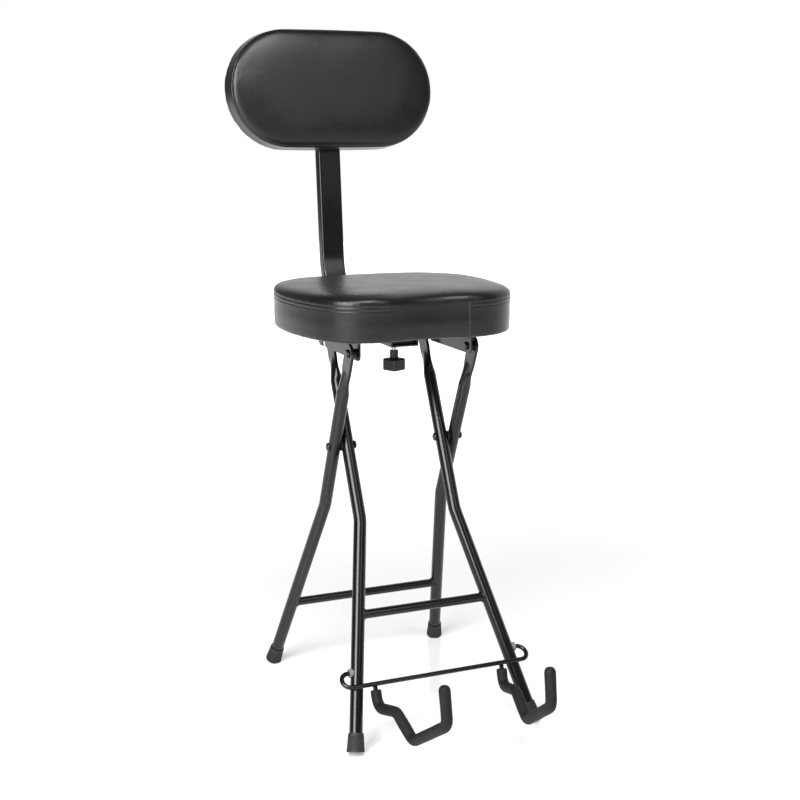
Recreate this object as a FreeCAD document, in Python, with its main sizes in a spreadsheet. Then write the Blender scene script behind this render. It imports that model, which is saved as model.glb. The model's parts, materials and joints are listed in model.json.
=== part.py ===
import FreeCAD, Part
import math
import os
import Sketcher

# Folding guitar stool: two crossed pairs of splayed tube legs, a padded seat that tips up,
# a plug-in backrest on a bent flat tube, and a flip-up wire hanger with two foam-sleeved hooks.
# Millimetres and degrees. +Z is up, the sitter faces -Y and +X is the right side of the picture.
# Heights are measured from the floor, and y from the leg pivot, which stands at pivot_y.

DIMENSIONS = [
    # Leg tubes and how they cross
    ("pivot_y", 27.945, "leg pivot, behind the middle of the overall depth"),
    ("pivot_height", 419.2, "leg pivot above the floor"),
    ("tube_radius", 10.0, "leg tube outside radius"),
    ("tube_wall", 1.5, "leg tube wall"),
    ("inner_x", 80.7, "front leg axis above its splay bend"),
    ("frame_gap", 2.0, "gap between the front and rear leg tubes at the pivot"),
    ("front_tilt", 26.27, "front legs lean back towards the top"),
    ("rear_tilt", 23.84, "rear legs lean forward towards the top"),
    ("splay_height", 311.8, "height where the legs bend outwards"),
    ("splay_radius", 70.0, "centre-line radius of the splay bend"),
    ("front_foot_x", 148.1, "front foot centre"),
    ("rear_foot_x", 152.7, "rear foot centre"),
    # Flattened leg tops
    ("blade_thickness", 4.5, "flattened top of a leg tube"),
    ("blade_half_width", 14.5, "half the width of the flattened top"),
    ("blade_below_pin", 30.0, "flat length below the pin"),
    ("flare_length", 42.0, "length over which the tube goes flat"),
    ("seat_pin_drop", 23.1, "pin of the rear legs in the seat bracket, below the seat"),
    ("catch_pin_drop", 22.0, "pin of the front legs in the bracket notch, below the seat"),
    # Pins, rivets and spacers
    ("pin_radius", 4.0, "rivet and pin shank radius"),
    ("running_clearance", 0.05, "radial clearance of a pin in its hole"),
    ("side_clearance", 0.4, "sideways play beside a turning plate"),
    ("rivet_head_radius", 6.5, "rivet head radius"),
    ("rivet_head_height", 3.2, "rivet head height"),
    ("rivet_head_round", 2.6, "rounding of a rivet head"),
    ("washer_radius", 8.0, "leg pivot washer radius"),
    ("spacer_radius", 7.0, "seat pivot spacer radius"),
    # Rungs
    ("rung_radius", 7.0, "rung tube outside radius"),
    ("rung_wall", 1.2, "rung tube wall"),
    ("front_rung_height", 182.0, "front rung above the floor"),
    ("rear_rung_height", 122.5, "rear rung above the floor"),
    ("weld_gap", 0.05, "gap left at a welded joint"),
    # Rubber feet
    ("foot_wall", 3.5, "rubber foot around the tube, at the floor"),
    ("foot_top_wall", 1.6, "rubber foot around the tube, at its top"),
    ("foot_length", 27.0, "rubber foot length"),
    ("foot_floor", 5.0, "rubber below the end of the tube"),
    ("foot_lift", 5.0, "middle of the foot's end above the floor"),
    ("foot_clearance", 0.05, "rubber foot around the tube"),
    ("flute_radius", 1.1, "flute cut in the rubber foot"),
    ("flute_count", 22, "flutes around a rubber foot"),
    ("flute_margin", 3.0, "plain rubber below the flutes"),
    ("flute_length", 19.0, "height of the flutes"),
    # Seat brackets
    ("seat_height", 600.0, "underside of the seat"),
    ("bracket_thickness", 2.0, "seat bracket sheet"),
    ("bracket_depth", 34.0, "bracket ear below the seat"),
    ("bracket_flange", 24.0, "bracket flange width"),
    ("bracket_front_margin", 16.5, "bracket ahead of the seat pin"),
    ("bracket_rear_margin", 20.0, "bracket behind the catch pin"),
    ("bracket_corner", 10.0, "rounding of the bracket's lower corners"),
    ("notch_angle", 59.0, "slope of the catch notch, down and forward"),
    ("notch_clearance", 0.35, "catch notch around its pin"),
    ("notch_flare", 2.0, "widening of the catch notch to each side, over its length"),
    ("notch_length", 40.0, "length that the catch notch is cut along"),
    # Screws
    ("screw_radius", 2.4, "wood screw shank radius"),
    ("screw_reach", 9.0, "wood screw length in the board"),
    ("screw_head_radius", 4.6, "pan head radius"),
    ("screw_head_height", 2.6, "pan head height"),
    ("screw_head_round", 1.6, "rounding of a pan head"),
    ("bracket_screw_pitch", 68.0, "distance between bracket screws"),
    ("bracket_screw_y", 4.4, "middle bracket screw"),
    ("socket_screw_front_margin", 18.0, "front socket screws from the socket's end"),
    ("socket_screw_rear_margin", 28.0, "rear socket screws from the socket's end"),
    # Seat outline: two front lobes, two rear corners and the arcs between them
    ("lobe_x", 77.0, "front lobe centre"),
    ("lobe_y", -54.0, "front lobe centre"),
    ("lobe_radius", 87.0, "front lobe radius"),
    ("corner_x", 79.0, "rear corner centre"),
    ("corner_y", 66.0, "rear corner centre"),
    ("corner_radius", 94.0, "rear corner radius"),
    ("side_radius", 370.0, "radius of the seat's sides"),
    ("back_radius", 460.0, "radius of the seat's back"),
    ("front_radius", 190.0, "radius of the hollow front"),
    ("seat_rim", 60.0, "height of the seat's sides"),
    ("seat_crown", 12.0, "crown above the rim of the seat"),
    ("seat_draw_in", 6.0, "how far the sides draw in at the rim and the base"),
    ("seat_crown_inset", 50.0, "how far in the crown goes flat"),
    ("seat_board_inset", 16.0, "board inside the seat outline"),
    ("seat_board_thickness", 12.0, "seat board"),
    ("soft_clearance", 0.3, "padding clear of its board"),
    # Backrest post and its socket
    ("post_width", 40.0, "post tube across"),
    ("post_depth", 20.0, "post tube front to back"),
    ("post_wall", 1.5, "post tube wall"),
    ("post_corner", 3.0, "outside corner radius of the post tube"),
    ("post_gap", 12.0, "front end of the post behind the front end of its socket"),
    ("post_corner_y", 279.4, "where the level and upright runs of the post would meet"),
    ("post_bend_radius", 112.0, "centre-line radius of the post bend"),
    ("post_recline", 5.2, "lean of the upright run"),
    ("post_past_pad", 60.5, "top of the post above the middle of the pad"),
    ("socket_clearance", 0.5, "play of the post in its socket"),
    ("socket_wall", 2.3, "socket sheet"),
    ("socket_flange", 16.0, "socket flange width"),
    ("socket_front_y", -40.0, "front end of the socket"),
    ("socket_rear_y", 146.0, "rear end of the socket"),
    ("plug_cap", 3.0, "end plug outside the tube"),
    ("plug_reach", 12.0, "end plug inside the tube"),
    ("plug_clearance", 0.1, "end plug in the tube"),
    # Clamp screw
    ("clamp_y", 3.7, "clamp screw axis"),
    ("stud_radius", 4.0, "clamp screw radius"),
    ("stud_gap", 0.3, "clamp screw below the post"),
    ("nut_across", 14.0, "weld nut across its flats"),
    ("nut_height", 6.5, "weld nut height"),
    ("knob_gap", 5.2, "knob below the weld nut"),
    ("knob_collar_radius", 6.8, "knob collar radius"),
    ("knob_collar_height", 13.0, "knob collar height"),
    ("knob_half_side", 13.5, "half the side of the knob's grip"),
    ("knob_corner", 4.0, "corner radius of the knob's grip"),
    ("knob_height", 19.0, "height of the knob's grip"),
    ("knob_round", 2.5, "rounding of the knob's edges"),
    ("knob_bore_depth", 24.0, "stud length held in the knob"),
    ("knob_turn", 24.0, "turn of the knob's grip at rest"),
    # Backrest pad
    ("pad_rise", 369.5, "middle of the backrest pad above the underside of the seat"),
    ("pad_half_width", 182.0, "half the width of the pad"),
    ("pad_half_height", 99.5, "half the height of the pad"),
    ("pad_rim", 36.0, "thickness of the pad at its edge"),
    ("pad_crown", 9.0, "crown of the pad ahead of its edge"),
    ("pad_draw_in", 5.0, "how far the pad's edge draws in"),
    ("pad_crown_inset", 60.0, "how far in the pad's crown goes flat"),
    ("pad_board_inset", 14.0, "board inside the pad outline"),
    ("pad_board_thickness", 10.0, "backrest board"),
    ("bolt_radius", 3.0, "backrest bolt radius"),
    ("bolt_head_radius", 7.0, "backrest bolt head radius"),
    ("bolt_head_height", 3.6, "backrest bolt head height"),
    ("bolt_head_round", 2.4, "rounding of a backrest bolt head"),
    ("bolt_spacing", 64.0, "distance between the backrest bolts"),
    ("bolt_reach", 8.5, "bolt length in the board"),
    ("insert_radius", 4.6, "threaded insert radius"),
    # Guitar hanger
    ("wire_radius", 3.5, "hanger wire radius"),
    ("hanger_height", 107.0, "hanger pivot above the floor"),
    ("hanger_loop", 25.6, "hanger rod from its pivot"),
    ("hanger_overhang", 27.8, "hanger loop beyond the leg's axis, to the wire's axis"),
    ("hanger_flat", 0.8, "straight run between the two bends of a hanger loop"),
    ("rest_gap", 0.3, "hanger rod clear of the legs that stop it"),
    ("bush_radius", 5.2, "nylon bush in the leg"),
    ("bush_flange_radius", 7.0, "nylon bush flange radius"),
    ("bush_flange", 1.6, "nylon bush flange thickness"),
    ("bush_reach", 4.0, "nylon bush inside the leg's wall"),
    # Hooks: reach ahead of the rod, and drop below it or rise above it
    ("hook_inset", 20.2, "hook, where it leaves the rod, from the leg's axis"),
    ("hook_toe_in", 7.0, "hooks turn in towards their tips"),
    ("hook_bend", 15.0, "centre-line radius of the hook's bends"),
    ("heel_reach", 10.0, "first bend of a hook"),
    ("heel_drop", 34.5, "first bend of a hook"),
    ("step_reach", 65.0, "end of the hook's step"),
    ("step_drop", 19.5, "end of the hook's step"),
    ("bottom_reach", 114.0, "bottom of the hook"),
    ("bottom_drop", 44.5, "bottom of the hook"),
    ("toe_reach", 205.0, "bend below the hook's tip"),
    ("toe_rise", 16.5, "bend below the hook's tip"),
    ("tip_reach", 196.0, "tip of the hook"),
    ("tip_rise", 72.5, "tip of the hook"),
    ("tip_cover", 9.0, "foam beyond the end of the wire"),
    ("tip_flat", 1.0, "flat left in the middle of the rounded foam tip"),
    ("sleeve_radius", 8.5, "foam sleeve radius"),
    ("sleeve_top", 9.0, "foam sleeve starts below the rod's axis"),
]

SIDES = (("left", -1), ("right", 1))
X_AXIS = FreeCAD.Vector(1, 0, 0)
Y_AXIS = FreeCAD.Vector(0, 1, 0)
Z_AXIS = FreeCAD.Vector(0, 0, 1)
QUARTER_TURN = 90.0
HALF_TURN = 180.0
FULL_TURN = 360.0

# The points of a sketch's line, arc or circle, and the sketch's own origin
START, END, CENTRE = range(1, 4)
ROOT = (-1, 1)

# Lengths closer than this are the same
TOLERANCE = 1e-4
# A cut that has to pass right through runs this many thicknesses
CUT_PAST = 3
# Half of a leg washer's thickness, in gaps between the leg tubes
WASHER_SHARE = 0.35
# Sides of the ground block that trims the feet, in leg heights
GROUND_SPREAD = 4
# Sections that shape a cushion's sides and its crown
SIDE_STEPS = 8
CROWN_STEPS = 6
NUT_SIDES = 6

doc = FreeCAD.newDocument("folding_guitar_stool")
sheet = doc.addObject("Spreadsheet::Sheet", "dims")
for row, (alias, number, note) in enumerate(DIMENSIONS, start=1):
    sheet.set("A%d" % row, note)
    sheet.set("B%d" % row, str(number))
    sheet.setAlias("B%d" % row, alias)
doc.recompute()

nodes = []


def value(expression):
    """The number that an expression on the sheet gives."""
    result = sheet.evalExpression(expression)
    return float(getattr(result, "Value", result))


def dim(alias):
    """One driving dimension."""
    return value("dims." + alias)


def keep(item, label):
    """Name a finished sub-part and put it on the list that is written out."""
    item.Label = label
    nodes.append(item)
    return item


def at_pivot(offset=(0, 0, 0), axis=X_AXIS, angle=0.0):
    """A placement measured from the leg pivot's y, and from the floor."""
    base = FreeCAD.Vector(offset[0], offset[1] + dim("pivot_y"), offset[2])
    return FreeCAD.Placement(base, FreeCAD.Rotation(axis, angle))


# Expressions that several pieces share

OUTER_X = "(dims.inner_x + 2 * dims.tube_radius + dims.frame_gap)"
EAR_X = "(dims.inner_x + dims.tube_radius + dims.frame_gap / 2)"
SEAT_PIN_Z = "(dims.seat_height - dims.seat_pin_drop)"
CATCH_PIN_Z = "(dims.seat_height - dims.catch_pin_drop)"
SEAT_PIN_Y = "(-tan(dims.rear_tilt) * (%s - dims.pivot_height))" % SEAT_PIN_Z
CATCH_PIN_Y = "(tan(dims.front_tilt) * (%s - dims.pivot_height))" % CATCH_PIN_Z
HANGER_Y = "(tan(dims.front_tilt) * (dims.hanger_height - dims.pivot_height))"
BORE = "(dims.pin_radius + dims.running_clearance)"
SCREW_ROOM = "(dims.screw_radius + dims.running_clearance)"
STUD_ROOM = "(dims.stud_radius + dims.running_clearance)"
PAD_Z = "(dims.seat_height + dims.pad_rise)"
POST_TOP = "(%s + dims.post_past_pad)" % PAD_Z
POST_FRONT = "(dims.socket_front_y + dims.post_gap)"
POST_Z = "(dims.seat_height - dims.socket_clearance - dims.post_depth / 2)"
SOCKET_SIDE = "(dims.post_width / 2 + dims.socket_clearance + dims.socket_wall)"
SOCKET_SCREW_ROWS = (
    "(dims.socket_front_y + dims.socket_screw_front_margin)",
    "(dims.socket_rear_y - dims.socket_screw_rear_margin)",
)
SOCKET_BOTTOM = "(dims.seat_height - dims.post_depth - 2 * dims.socket_clearance - dims.socket_wall)"
ROD_REACH = "(dims.tube_radius + dims.wire_radius + dims.rest_gap)"
ROD_SWING = "(dims.front_tilt * 1 deg + asin(%s / dims.hanger_loop))" % ROD_REACH
HOOK_TOP = "(dims.wire_radius + dims.weld_gap)"
LAST_RUN = (
    "sqrt((dims.tip_reach - dims.toe_reach) * (dims.tip_reach - dims.toe_reach)"
    " + (dims.tip_rise - dims.toe_rise) * (dims.tip_rise - dims.toe_rise))"
)
FOOT_RADIUS = "(dims.tube_radius + dims.foot_wall)"
FOOT_TAPER = "((dims.foot_wall - dims.foot_top_wall) / dims.foot_length)"
POST_BORE_CORNER = "(dims.post_corner - dims.post_wall)"
KNOB_TOP = "(%s - dims.nut_height - dims.knob_gap)" % SOCKET_BOTTOM
KNOB_BASE = "(%s - dims.knob_collar_height - dims.knob_height)" % KNOB_TOP


# Sketches whose points and radii are bound to the sheet


def origin_feature(body, role):
    """One of a body's own origin planes or axes."""
    return next(item for item in body.Origin.OriginFeatures if item.Role == role)


def sketch_on(body, role, offset="0"):
    """A sketch on one of the body's origin planes, moved along that plane's normal."""
    sketch = body.newObject("Sketcher::SketchObject", "Sketch")
    sketch.AttachmentSupport = (origin_feature(body, role), [""])
    sketch.MapMode = "FlatFace"
    sketch.setExpression("AttachmentOffset.Base.z", offset)
    return sketch


def bind(sketch, kind, *reference):
    """Add a dimension to a sketch; the last two references are its value and expression."""
    number, expression = reference[-2:]
    index = sketch.addConstraint(Sketcher.Constraint(kind, *reference[:-2], number))
    sketch.setExpression("Constraints[%d]" % index, expression)


def bind_point(sketch, geometry, vertex, across, up):
    """Hold one sketch point at two expressions from the sketch's origin."""
    bind(sketch, "DistanceX", *ROOT, geometry, vertex, value(across), across)
    bind(sketch, "DistanceY", *ROOT, geometry, vertex, value(up), up)


def draw_circle(sketch, across, up, radius):
    """A circle with its centre and radius bound."""
    centre = FreeCAD.Vector(value(across), value(up), 0)
    geometry = sketch.addGeometry(Part.Circle(centre, Z_AXIS, value(radius)), False)
    bind_point(sketch, geometry, CENTRE, across, up)
    bind(sketch, "Radius", geometry, value(radius), radius)


def draw_polygon(sketch, corners):
    """A closed polygon with every corner bound."""
    points = [FreeCAD.Vector(value(across), value(up), 0) for across, up in corners]
    edges = []
    for start, end in zip(points, points[1:] + points[:1]):
        edges.append(sketch.addGeometry(Part.LineSegment(start, end), False))
    for edge, following in zip(edges, edges[1:] + edges[:1]):
        sketch.addConstraint(Sketcher.Constraint("Coincident", edge, END, following, START))
    for edge, (across, up) in zip(edges, corners):
        bind_point(sketch, edge, START, across, up)


def draw_rectangle(sketch, left, right, bottom, top):
    """A rectangle with its four sides bound."""
    draw_polygon(sketch, [(left, bottom), (right, bottom), (right, top), (left, top)])


def rounded_corner(before, corner, after, radius):
    """The arc that rounds a corner, as its two tangent points and its centre."""
    back = (before - corner).normalize()
    ahead = (after - corner).normalize()
    half = back.getAngle(ahead) / 2
    reach = radius / math.tan(half)
    middle = (back + ahead).normalize()
    centre = corner + middle * (radius / math.sin(half))
    return corner + back * reach, corner + ahead * reach, centre


def arc_between(start, end, centre):
    """The short arc from one point to another about a centre, and whether it runs clockwise."""
    first = math.atan2(start.y - centre.y, start.x - centre.x)
    last = math.atan2(end.y - centre.y, end.x - centre.x)
    clockwise = (start - centre).cross(end - centre).z < 0
    circle = Part.Circle(centre, Z_AXIS, (start - centre).Length)
    if clockwise:
        return Part.ArcOfCircle(circle, last, first), clockwise
    return Part.ArcOfCircle(circle, first, last), clockwise


def draw_route(sketch, corners, radius, closed=False):
    """Straight runs joined by tangent arcs, with the corners and the bend radius bound."""
    points = [FreeCAD.Vector(value(across), value(up), 0) for across, up in corners]
    count = len(points)
    bends = range(count) if closed else range(1, count - 1)
    marks = []
    for point, (across, up) in zip(points, corners):
        mark = sketch.addGeometry(Part.Point(point), True)
        bind_point(sketch, mark, START, across, up)
        marks.append(mark)
    arcs = {}
    for bend in bends:
        following = points[(bend + 1) % count]
        arcs[bend] = rounded_corner(points[bend - 1], points[bend], following, value(radius))
    runs = {}
    for run in range(count if closed else count - 1):
        following = (run + 1) % count
        start = arcs[run][1] if run in arcs else points[run]
        end = arcs[following][0] if following in arcs else points[following]
        line = sketch.addGeometry(Part.LineSegment(start, end), False)
        for corner, vertex in ((run, START), (following, END)):
            if corner in arcs:
                link = Sketcher.Constraint("PointOnObject", marks[corner], START, line)
            else:
                link = Sketcher.Constraint("Coincident", marks[corner], START, line, vertex)
            sketch.addConstraint(link)
        runs[run] = line
    for bend in bends:
        curve, clockwise = arc_between(*arcs[bend])
        arc = sketch.addGeometry(curve, False)
        first, last = (END, START) if clockwise else (START, END)
        before = runs[(bend - 1) % count]
        sketch.addConstraint(Sketcher.Constraint("Tangent", before, END, arc, first))
        sketch.addConstraint(Sketcher.Constraint("Tangent", runs[bend], START, arc, last))
        bind(sketch, "Radius", arc, value(radius), radius)


# Features of a body


def new_body(name):
    """An empty body that will hold one sub-part."""
    return doc.addObject("PartDesign::Body", name + "_body")


def pad(body, sketch, length, symmetric=False, reverse=False):
    """Raise a sketch into a solid."""
    feature = body.newObject("PartDesign::Pad", "Pad")
    feature.Profile = sketch
    feature.setExpression("Length", length)
    feature.SideType = "Symmetric" if symmetric else "One side"
    feature.Reversed = reverse
    return feature


def pocket(body, sketch, length, symmetric=False, reverse=False):
    """Cut a sketch out of the solid, and check that it removed something."""
    doc.recompute()
    before = body.Shape.Volume
    feature = body.newObject("PartDesign::Pocket", "Pocket")
    feature.Profile = sketch
    feature.setExpression("Length", length)
    feature.SideType = "Symmetric" if symmetric else "One side"
    feature.Reversed = reverse
    doc.recompute()
    if body.Shape.Volume >= before:
        raise RuntimeError("a pocket of %s removes nothing" % body.Name)
    return feature


def pipe(body, profile, route, kind="PartDesign::AdditivePipe"):
    """Carry a profile along a route."""
    feature = body.newObject(kind, "Pipe")
    feature.Profile = profile
    feature.Spine = route
    return feature


def turn(body, corners):
    """A solid of revolution about the body's X axis, from (along, radius) corners."""
    sketch = sketch_on(body, "XZ_Plane")
    draw_polygon(sketch, corners)
    feature = body.newObject("PartDesign::Revolution", "Revolution")
    feature.Profile = sketch
    feature.ReferenceAxis = (sketch, ["H_Axis"])
    feature.Angle = FULL_TURN
    return feature


def fillet(body, feature, radius, wanted):
    """Round the edges of a feature that a test picks out."""
    doc.recompute()
    edges = enumerate(feature.Shape.Edges, start=1)
    names = ["Edge%d" % index for index, edge in edges if wanted(edge)]
    rounding = body.newObject("PartDesign::Fillet", "Fillet")
    rounding.Base = (feature, names)
    rounding.setExpression("Radius", radius)
    return rounding


def is_circle(edge, radius):
    """True for a circular edge of the given radius."""
    return isinstance(edge.Curve, Part.Circle) and abs(edge.Curve.Radius - radius) < TOLERANCE


# Booleans and groups


def cylinder(name, radius, height, placement):
    """A cylinder with bound sizes."""
    item = doc.addObject("Part::Cylinder", name)
    item.setExpression("Radius", radius)
    item.setExpression("Height", height)
    item.Placement = placement
    return item


def cut(name, base, tool):
    """One shape less another."""
    item = doc.addObject("Part::Cut", name)
    item.Base = base
    item.Tool = tool
    return item


def group(name, items):
    """Several separate solids that share one sub-part."""
    item = doc.addObject("Part::Compound", name)
    item.Links = items
    return item


def solid_feature(name, shape, placement):
    """A sub-part whose shape is built directly."""
    item = doc.addObject("Part::Feature", name)
    item.Shape = shape
    item.Placement = placement
    return item


def copies(name, body, placements):
    """Separate copies of one finished body, as a group."""
    doc.recompute()
    items = []
    for number, placement in enumerate(placements):
        items.append(solid_feature("%s_%d" % (name, number + 1), body.Shape.copy(), placement))
    return group(name, items)


# Leg frames

FRAMES = {
    "front": {
        "tilt": "dims.front_tilt",
        "turn": -1,
        "axis_x": "dims.inner_x",
        "foot_x": "dims.front_foot_x",
        "pin_height": CATCH_PIN_Z,
        "rung_height": "dims.front_rung_height",
    },
    "rear": {
        "tilt": "dims.rear_tilt",
        "turn": 1,
        "axis_x": OUTER_X,
        "foot_x": "dims.rear_foot_x",
        "pin_height": SEAT_PIN_Z,
        "rung_height": "dims.rear_rung_height",
    },
}


def along_leg(frame, height):
    """Distance along a leg from the pivot to a height."""
    return "((%s - dims.pivot_height) / cos(%s))" % (height, frame["tilt"])


def splay_x(frame, height):
    """A leg's axis at a height below its splay bend."""
    share = "(dims.splay_height - %s) / (dims.splay_height - dims.foot_lift)" % height
    return "(%s + (%s - %s) * %s)" % (frame["axis_x"], frame["foot_x"], frame["axis_x"], share)


def lower_run(frame):
    """Length of a leg from its splay bend to the end of its foot."""
    rise = "(%s - %s)" % (along_leg(frame, "dims.splay_height"), along_leg(frame, "dims.foot_lift"))
    spread = "(%s - %s)" % (frame["foot_x"], frame["axis_x"])
    return "sqrt(%s * %s + %s * %s)" % (rise, rise, spread, spread)


def leg_placement(frame):
    """Places a leg so that its side-view line is the body's Z axis, through the pivot."""
    return at_pivot((0, 0, dim("pivot_height")), X_AXIS, frame["turn"] * value(frame["tilt"]))


def foot_placement(frame, side):
    """Places a piece on the splayed lower run, with Z up the tube from the foot's end."""
    spread = value(frame["foot_x"]) - value(frame["axis_x"])
    lean = math.degrees(math.asin(spread / value(lower_run(frame))))
    base = FreeCAD.Vector(side * value(frame["foot_x"]), 0, value(along_leg(frame, "dims.foot_lift")))
    local = FreeCAD.Placement(base, FreeCAD.Rotation(Y_AXIS, -side * lean))
    return leg_placement(frame).multiply(local)


def signed(side, expression):
    """An expression mirrored to the left side."""
    return expression if side > 0 else "-(%s)" % expression


def make_leg(name, side):
    """A bent tube with a flattened top, holes for its pins and, in front, the hanger's bush."""
    frame = FRAMES[name]
    body = new_body("%s_leg" % name)
    axis_x = signed(side, frame["axis_x"])
    pin = along_leg(frame, frame["pin_height"])
    flat_start = "(%s - dims.blade_below_pin)" % pin
    round_end = "(%s - dims.flare_length)" % flat_start
    share = "dims.foot_floor / %s" % lower_run(frame)
    foot = along_leg(frame, "dims.foot_lift")
    bend = along_leg(frame, "dims.splay_height")
    spread = "(%s - %s)" % (frame["foot_x"], frame["axis_x"])
    end_x = signed(side, "(%s - %s * %s)" % (frame["foot_x"], spread, share))
    end_z = "(%s + (%s - %s) * %s)" % (foot, bend, foot, share)
    route = sketch_on(body, "XZ_Plane")
    draw_route(route, [(axis_x, round_end), (axis_x, bend), (end_x, end_z)], "dims.splay_radius")
    ring = sketch_on(body, "XY_Plane", round_end)
    draw_circle(ring, axis_x, "0", "dims.tube_radius")
    pipe(body, ring, route)
    blade_end = sketch_on(body, "XY_Plane", flat_start)
    half = "dims.blade_thickness / 2"
    draw_rectangle(
        blade_end,
        "%s - %s" % (axis_x, half),
        "%s + %s" % (axis_x, half),
        "-dims.blade_half_width",
        "dims.blade_half_width",
    )
    flare = body.newObject("PartDesign::AdditiveLoft", "Flare")
    flare.Profile = ring
    flare.Sections = [blade_end]
    blade = sketch_on(body, "YZ_Plane", axis_x)
    draw_rectangle(blade, "-dims.blade_half_width", "dims.blade_half_width", flat_start, pin)
    pad(body, blade, "dims.blade_thickness", symmetric=True)
    blade_tip = sketch_on(body, "YZ_Plane", axis_x)
    draw_circle(blade_tip, "0", pin, "dims.blade_half_width")
    pad(body, blade_tip, "dims.blade_thickness", symmetric=True)
    hollow = sketch_on(body, "XY_Plane", round_end)
    draw_circle(hollow, axis_x, "0", "dims.tube_radius - dims.tube_wall")
    pipe(body, hollow, route, "PartDesign::SubtractivePipe")
    holes = sketch_on(body, "YZ_Plane")
    draw_circle(holes, "0", "0", BORE)
    draw_circle(holes, "0", pin, BORE)
    pocket(body, holes, "%d * %s" % (CUT_PAST, frame["axis_x"]), symmetric=True)
    if name == "front":
        bush = sketch_on(body, "YZ_Plane", signed(side, splay_x(frame, "dims.hanger_height")))
        height = along_leg(frame, "dims.hanger_height")
        draw_circle(bush, "0", height, "dims.bush_radius + dims.weld_gap")
        pocket(body, bush, "2 * dims.tube_radius", reverse=side > 0)
    body.Placement = leg_placement(frame)
    return body


def leg_room(name, frame, side):
    """The space that the lower run of a leg takes up, for what is shaped to it."""
    placement = foot_placement(frame, side)
    return cylinder(name, "dims.tube_radius + dims.weld_gap", lower_run(frame), placement)


def make_rung(name):
    """A tube welded between two legs, its ends shaped to their round sides."""
    frame = FRAMES[name]
    half = splay_x(frame, frame["rung_height"])
    height = value(frame["rung_height"])
    slope = -frame["turn"] * math.tan(math.radians(value(frame["tilt"])))
    start = (-value(half), slope * (height - dim("pivot_height")), height)
    placement = at_pivot(start, Y_AXIS, QUARTER_TURN)
    outside = cylinder("RungOutside", "dims.rung_radius", "2 * %s" % half, placement)
    inside = cylinder("RungInside", "dims.rung_radius - dims.rung_wall", "2 * %s" % half, placement)
    rung = cut("RungTube", outside, inside)
    for _, side in SIDES:
        rung = cut("Rung", rung, leg_room("Cope", frame, side))
    return rung


def foot_side(height):
    """A rubber foot's outside radius at a height above its end."""
    return "(%s - %s * %s)" % (FOOT_RADIUS, FOOT_TAPER, height)


def make_foot(name, side, floor):
    """A fluted rubber cap on the end of a leg, worn flat where it meets the floor."""
    frame = FRAMES[name]
    body = new_body("%s_foot" % name)
    outline = sketch_on(body, "XY_Plane")
    draw_circle(outline, "0", "0", FOOT_RADIUS)
    cap = pad(body, outline, "dims.foot_length")
    cap.setExpression("TaperAngle", "-atan(%s)" % FOOT_TAPER)
    bore = sketch_on(body, "XY_Plane", "dims.foot_floor")
    draw_circle(bore, "0", "0", "dims.tube_radius + dims.foot_clearance")
    pocket(body, bore, "dims.foot_length", reverse=True)
    low = "dims.flute_margin"
    high = "(dims.flute_margin + dims.flute_length)"
    line = sketch_on(body, "XZ_Plane")
    draw_route(line, [(foot_side(low), low), (foot_side(high), high)], "dims.flute_radius")
    flute = sketch_on(body, "XY_Plane", low)
    draw_circle(flute, foot_side(low), "0", "dims.flute_radius")
    groove = pipe(body, flute, line, "PartDesign::SubtractivePipe")
    ring = body.newObject("PartDesign::PolarPattern", "Flutes")
    ring.Originals = [groove]
    ring.Axis = (origin_feature(body, "Z_Axis"), [""])
    ring.Angle = FULL_TURN
    ring.setExpression("Occurrences", "dims.flute_count")
    body.Tip = ring
    body.Placement = foot_placement(frame, side)
    return cut("Foot", body, floor)


def make_floor():
    """The ground below the stool, which trims the feet."""
    floor = doc.addObject("Part::Box", "Floor")
    reach = "%d * dims.pivot_height" % GROUND_SPREAD
    floor.setExpression("Length", reach)
    floor.setExpression("Width", reach)
    floor.setExpression("Height", "dims.foot_length")
    floor.setExpression("Placement.Base.x", "-%s / 2" % reach)
    floor.setExpression("Placement.Base.y", "-%s / 2" % reach)
    floor.setExpression("Placement.Base.z", "-dims.foot_length")
    return floor


# Pins


def headed_pin(name, inner_face, outer_face):
    """A pin along X with a rounded head beyond each of the two faces that it holds."""
    body = new_body(name)
    corners = [
        ("%s - dims.rivet_head_height" % inner_face, "0"),
        ("%s - dims.rivet_head_height" % inner_face, "dims.rivet_head_radius"),
        (inner_face, "dims.rivet_head_radius"),
        (inner_face, "dims.pin_radius"),
        (outer_face, "dims.pin_radius"),
        (outer_face, "dims.rivet_head_radius"),
        ("%s + dims.rivet_head_height" % outer_face, "dims.rivet_head_radius"),
        ("%s + dims.rivet_head_height" % outer_face, "0"),
    ]
    revolution = turn(body, corners)
    ends = (value(corners[0][0]), value(corners[-1][0]))

    def at_an_end(edge):
        on_end = min(abs(edge.BoundBox.Center.x - end) for end in ends) < TOLERANCE
        return on_end and is_circle(edge, dim("rivet_head_radius"))

    fillet(body, revolution, "dims.rivet_head_round", at_an_end)
    return body


def ring_spacer(name, inner_face, outer_face, radius):
    """A plain ring around a pin."""
    body = new_body(name)
    corners = [(inner_face, BORE), (outer_face, BORE), (outer_face, radius), (inner_face, radius)]
    turn(body, corners)
    return body


def both_sides(name, body, y_place, height):
    """A turned piece on the right and its half-turned twin on the left."""
    offset = (0, y_place, height)
    return copies(name, body, [at_pivot(offset, Z_AXIS, HALF_TURN), at_pivot(offset)])


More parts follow.
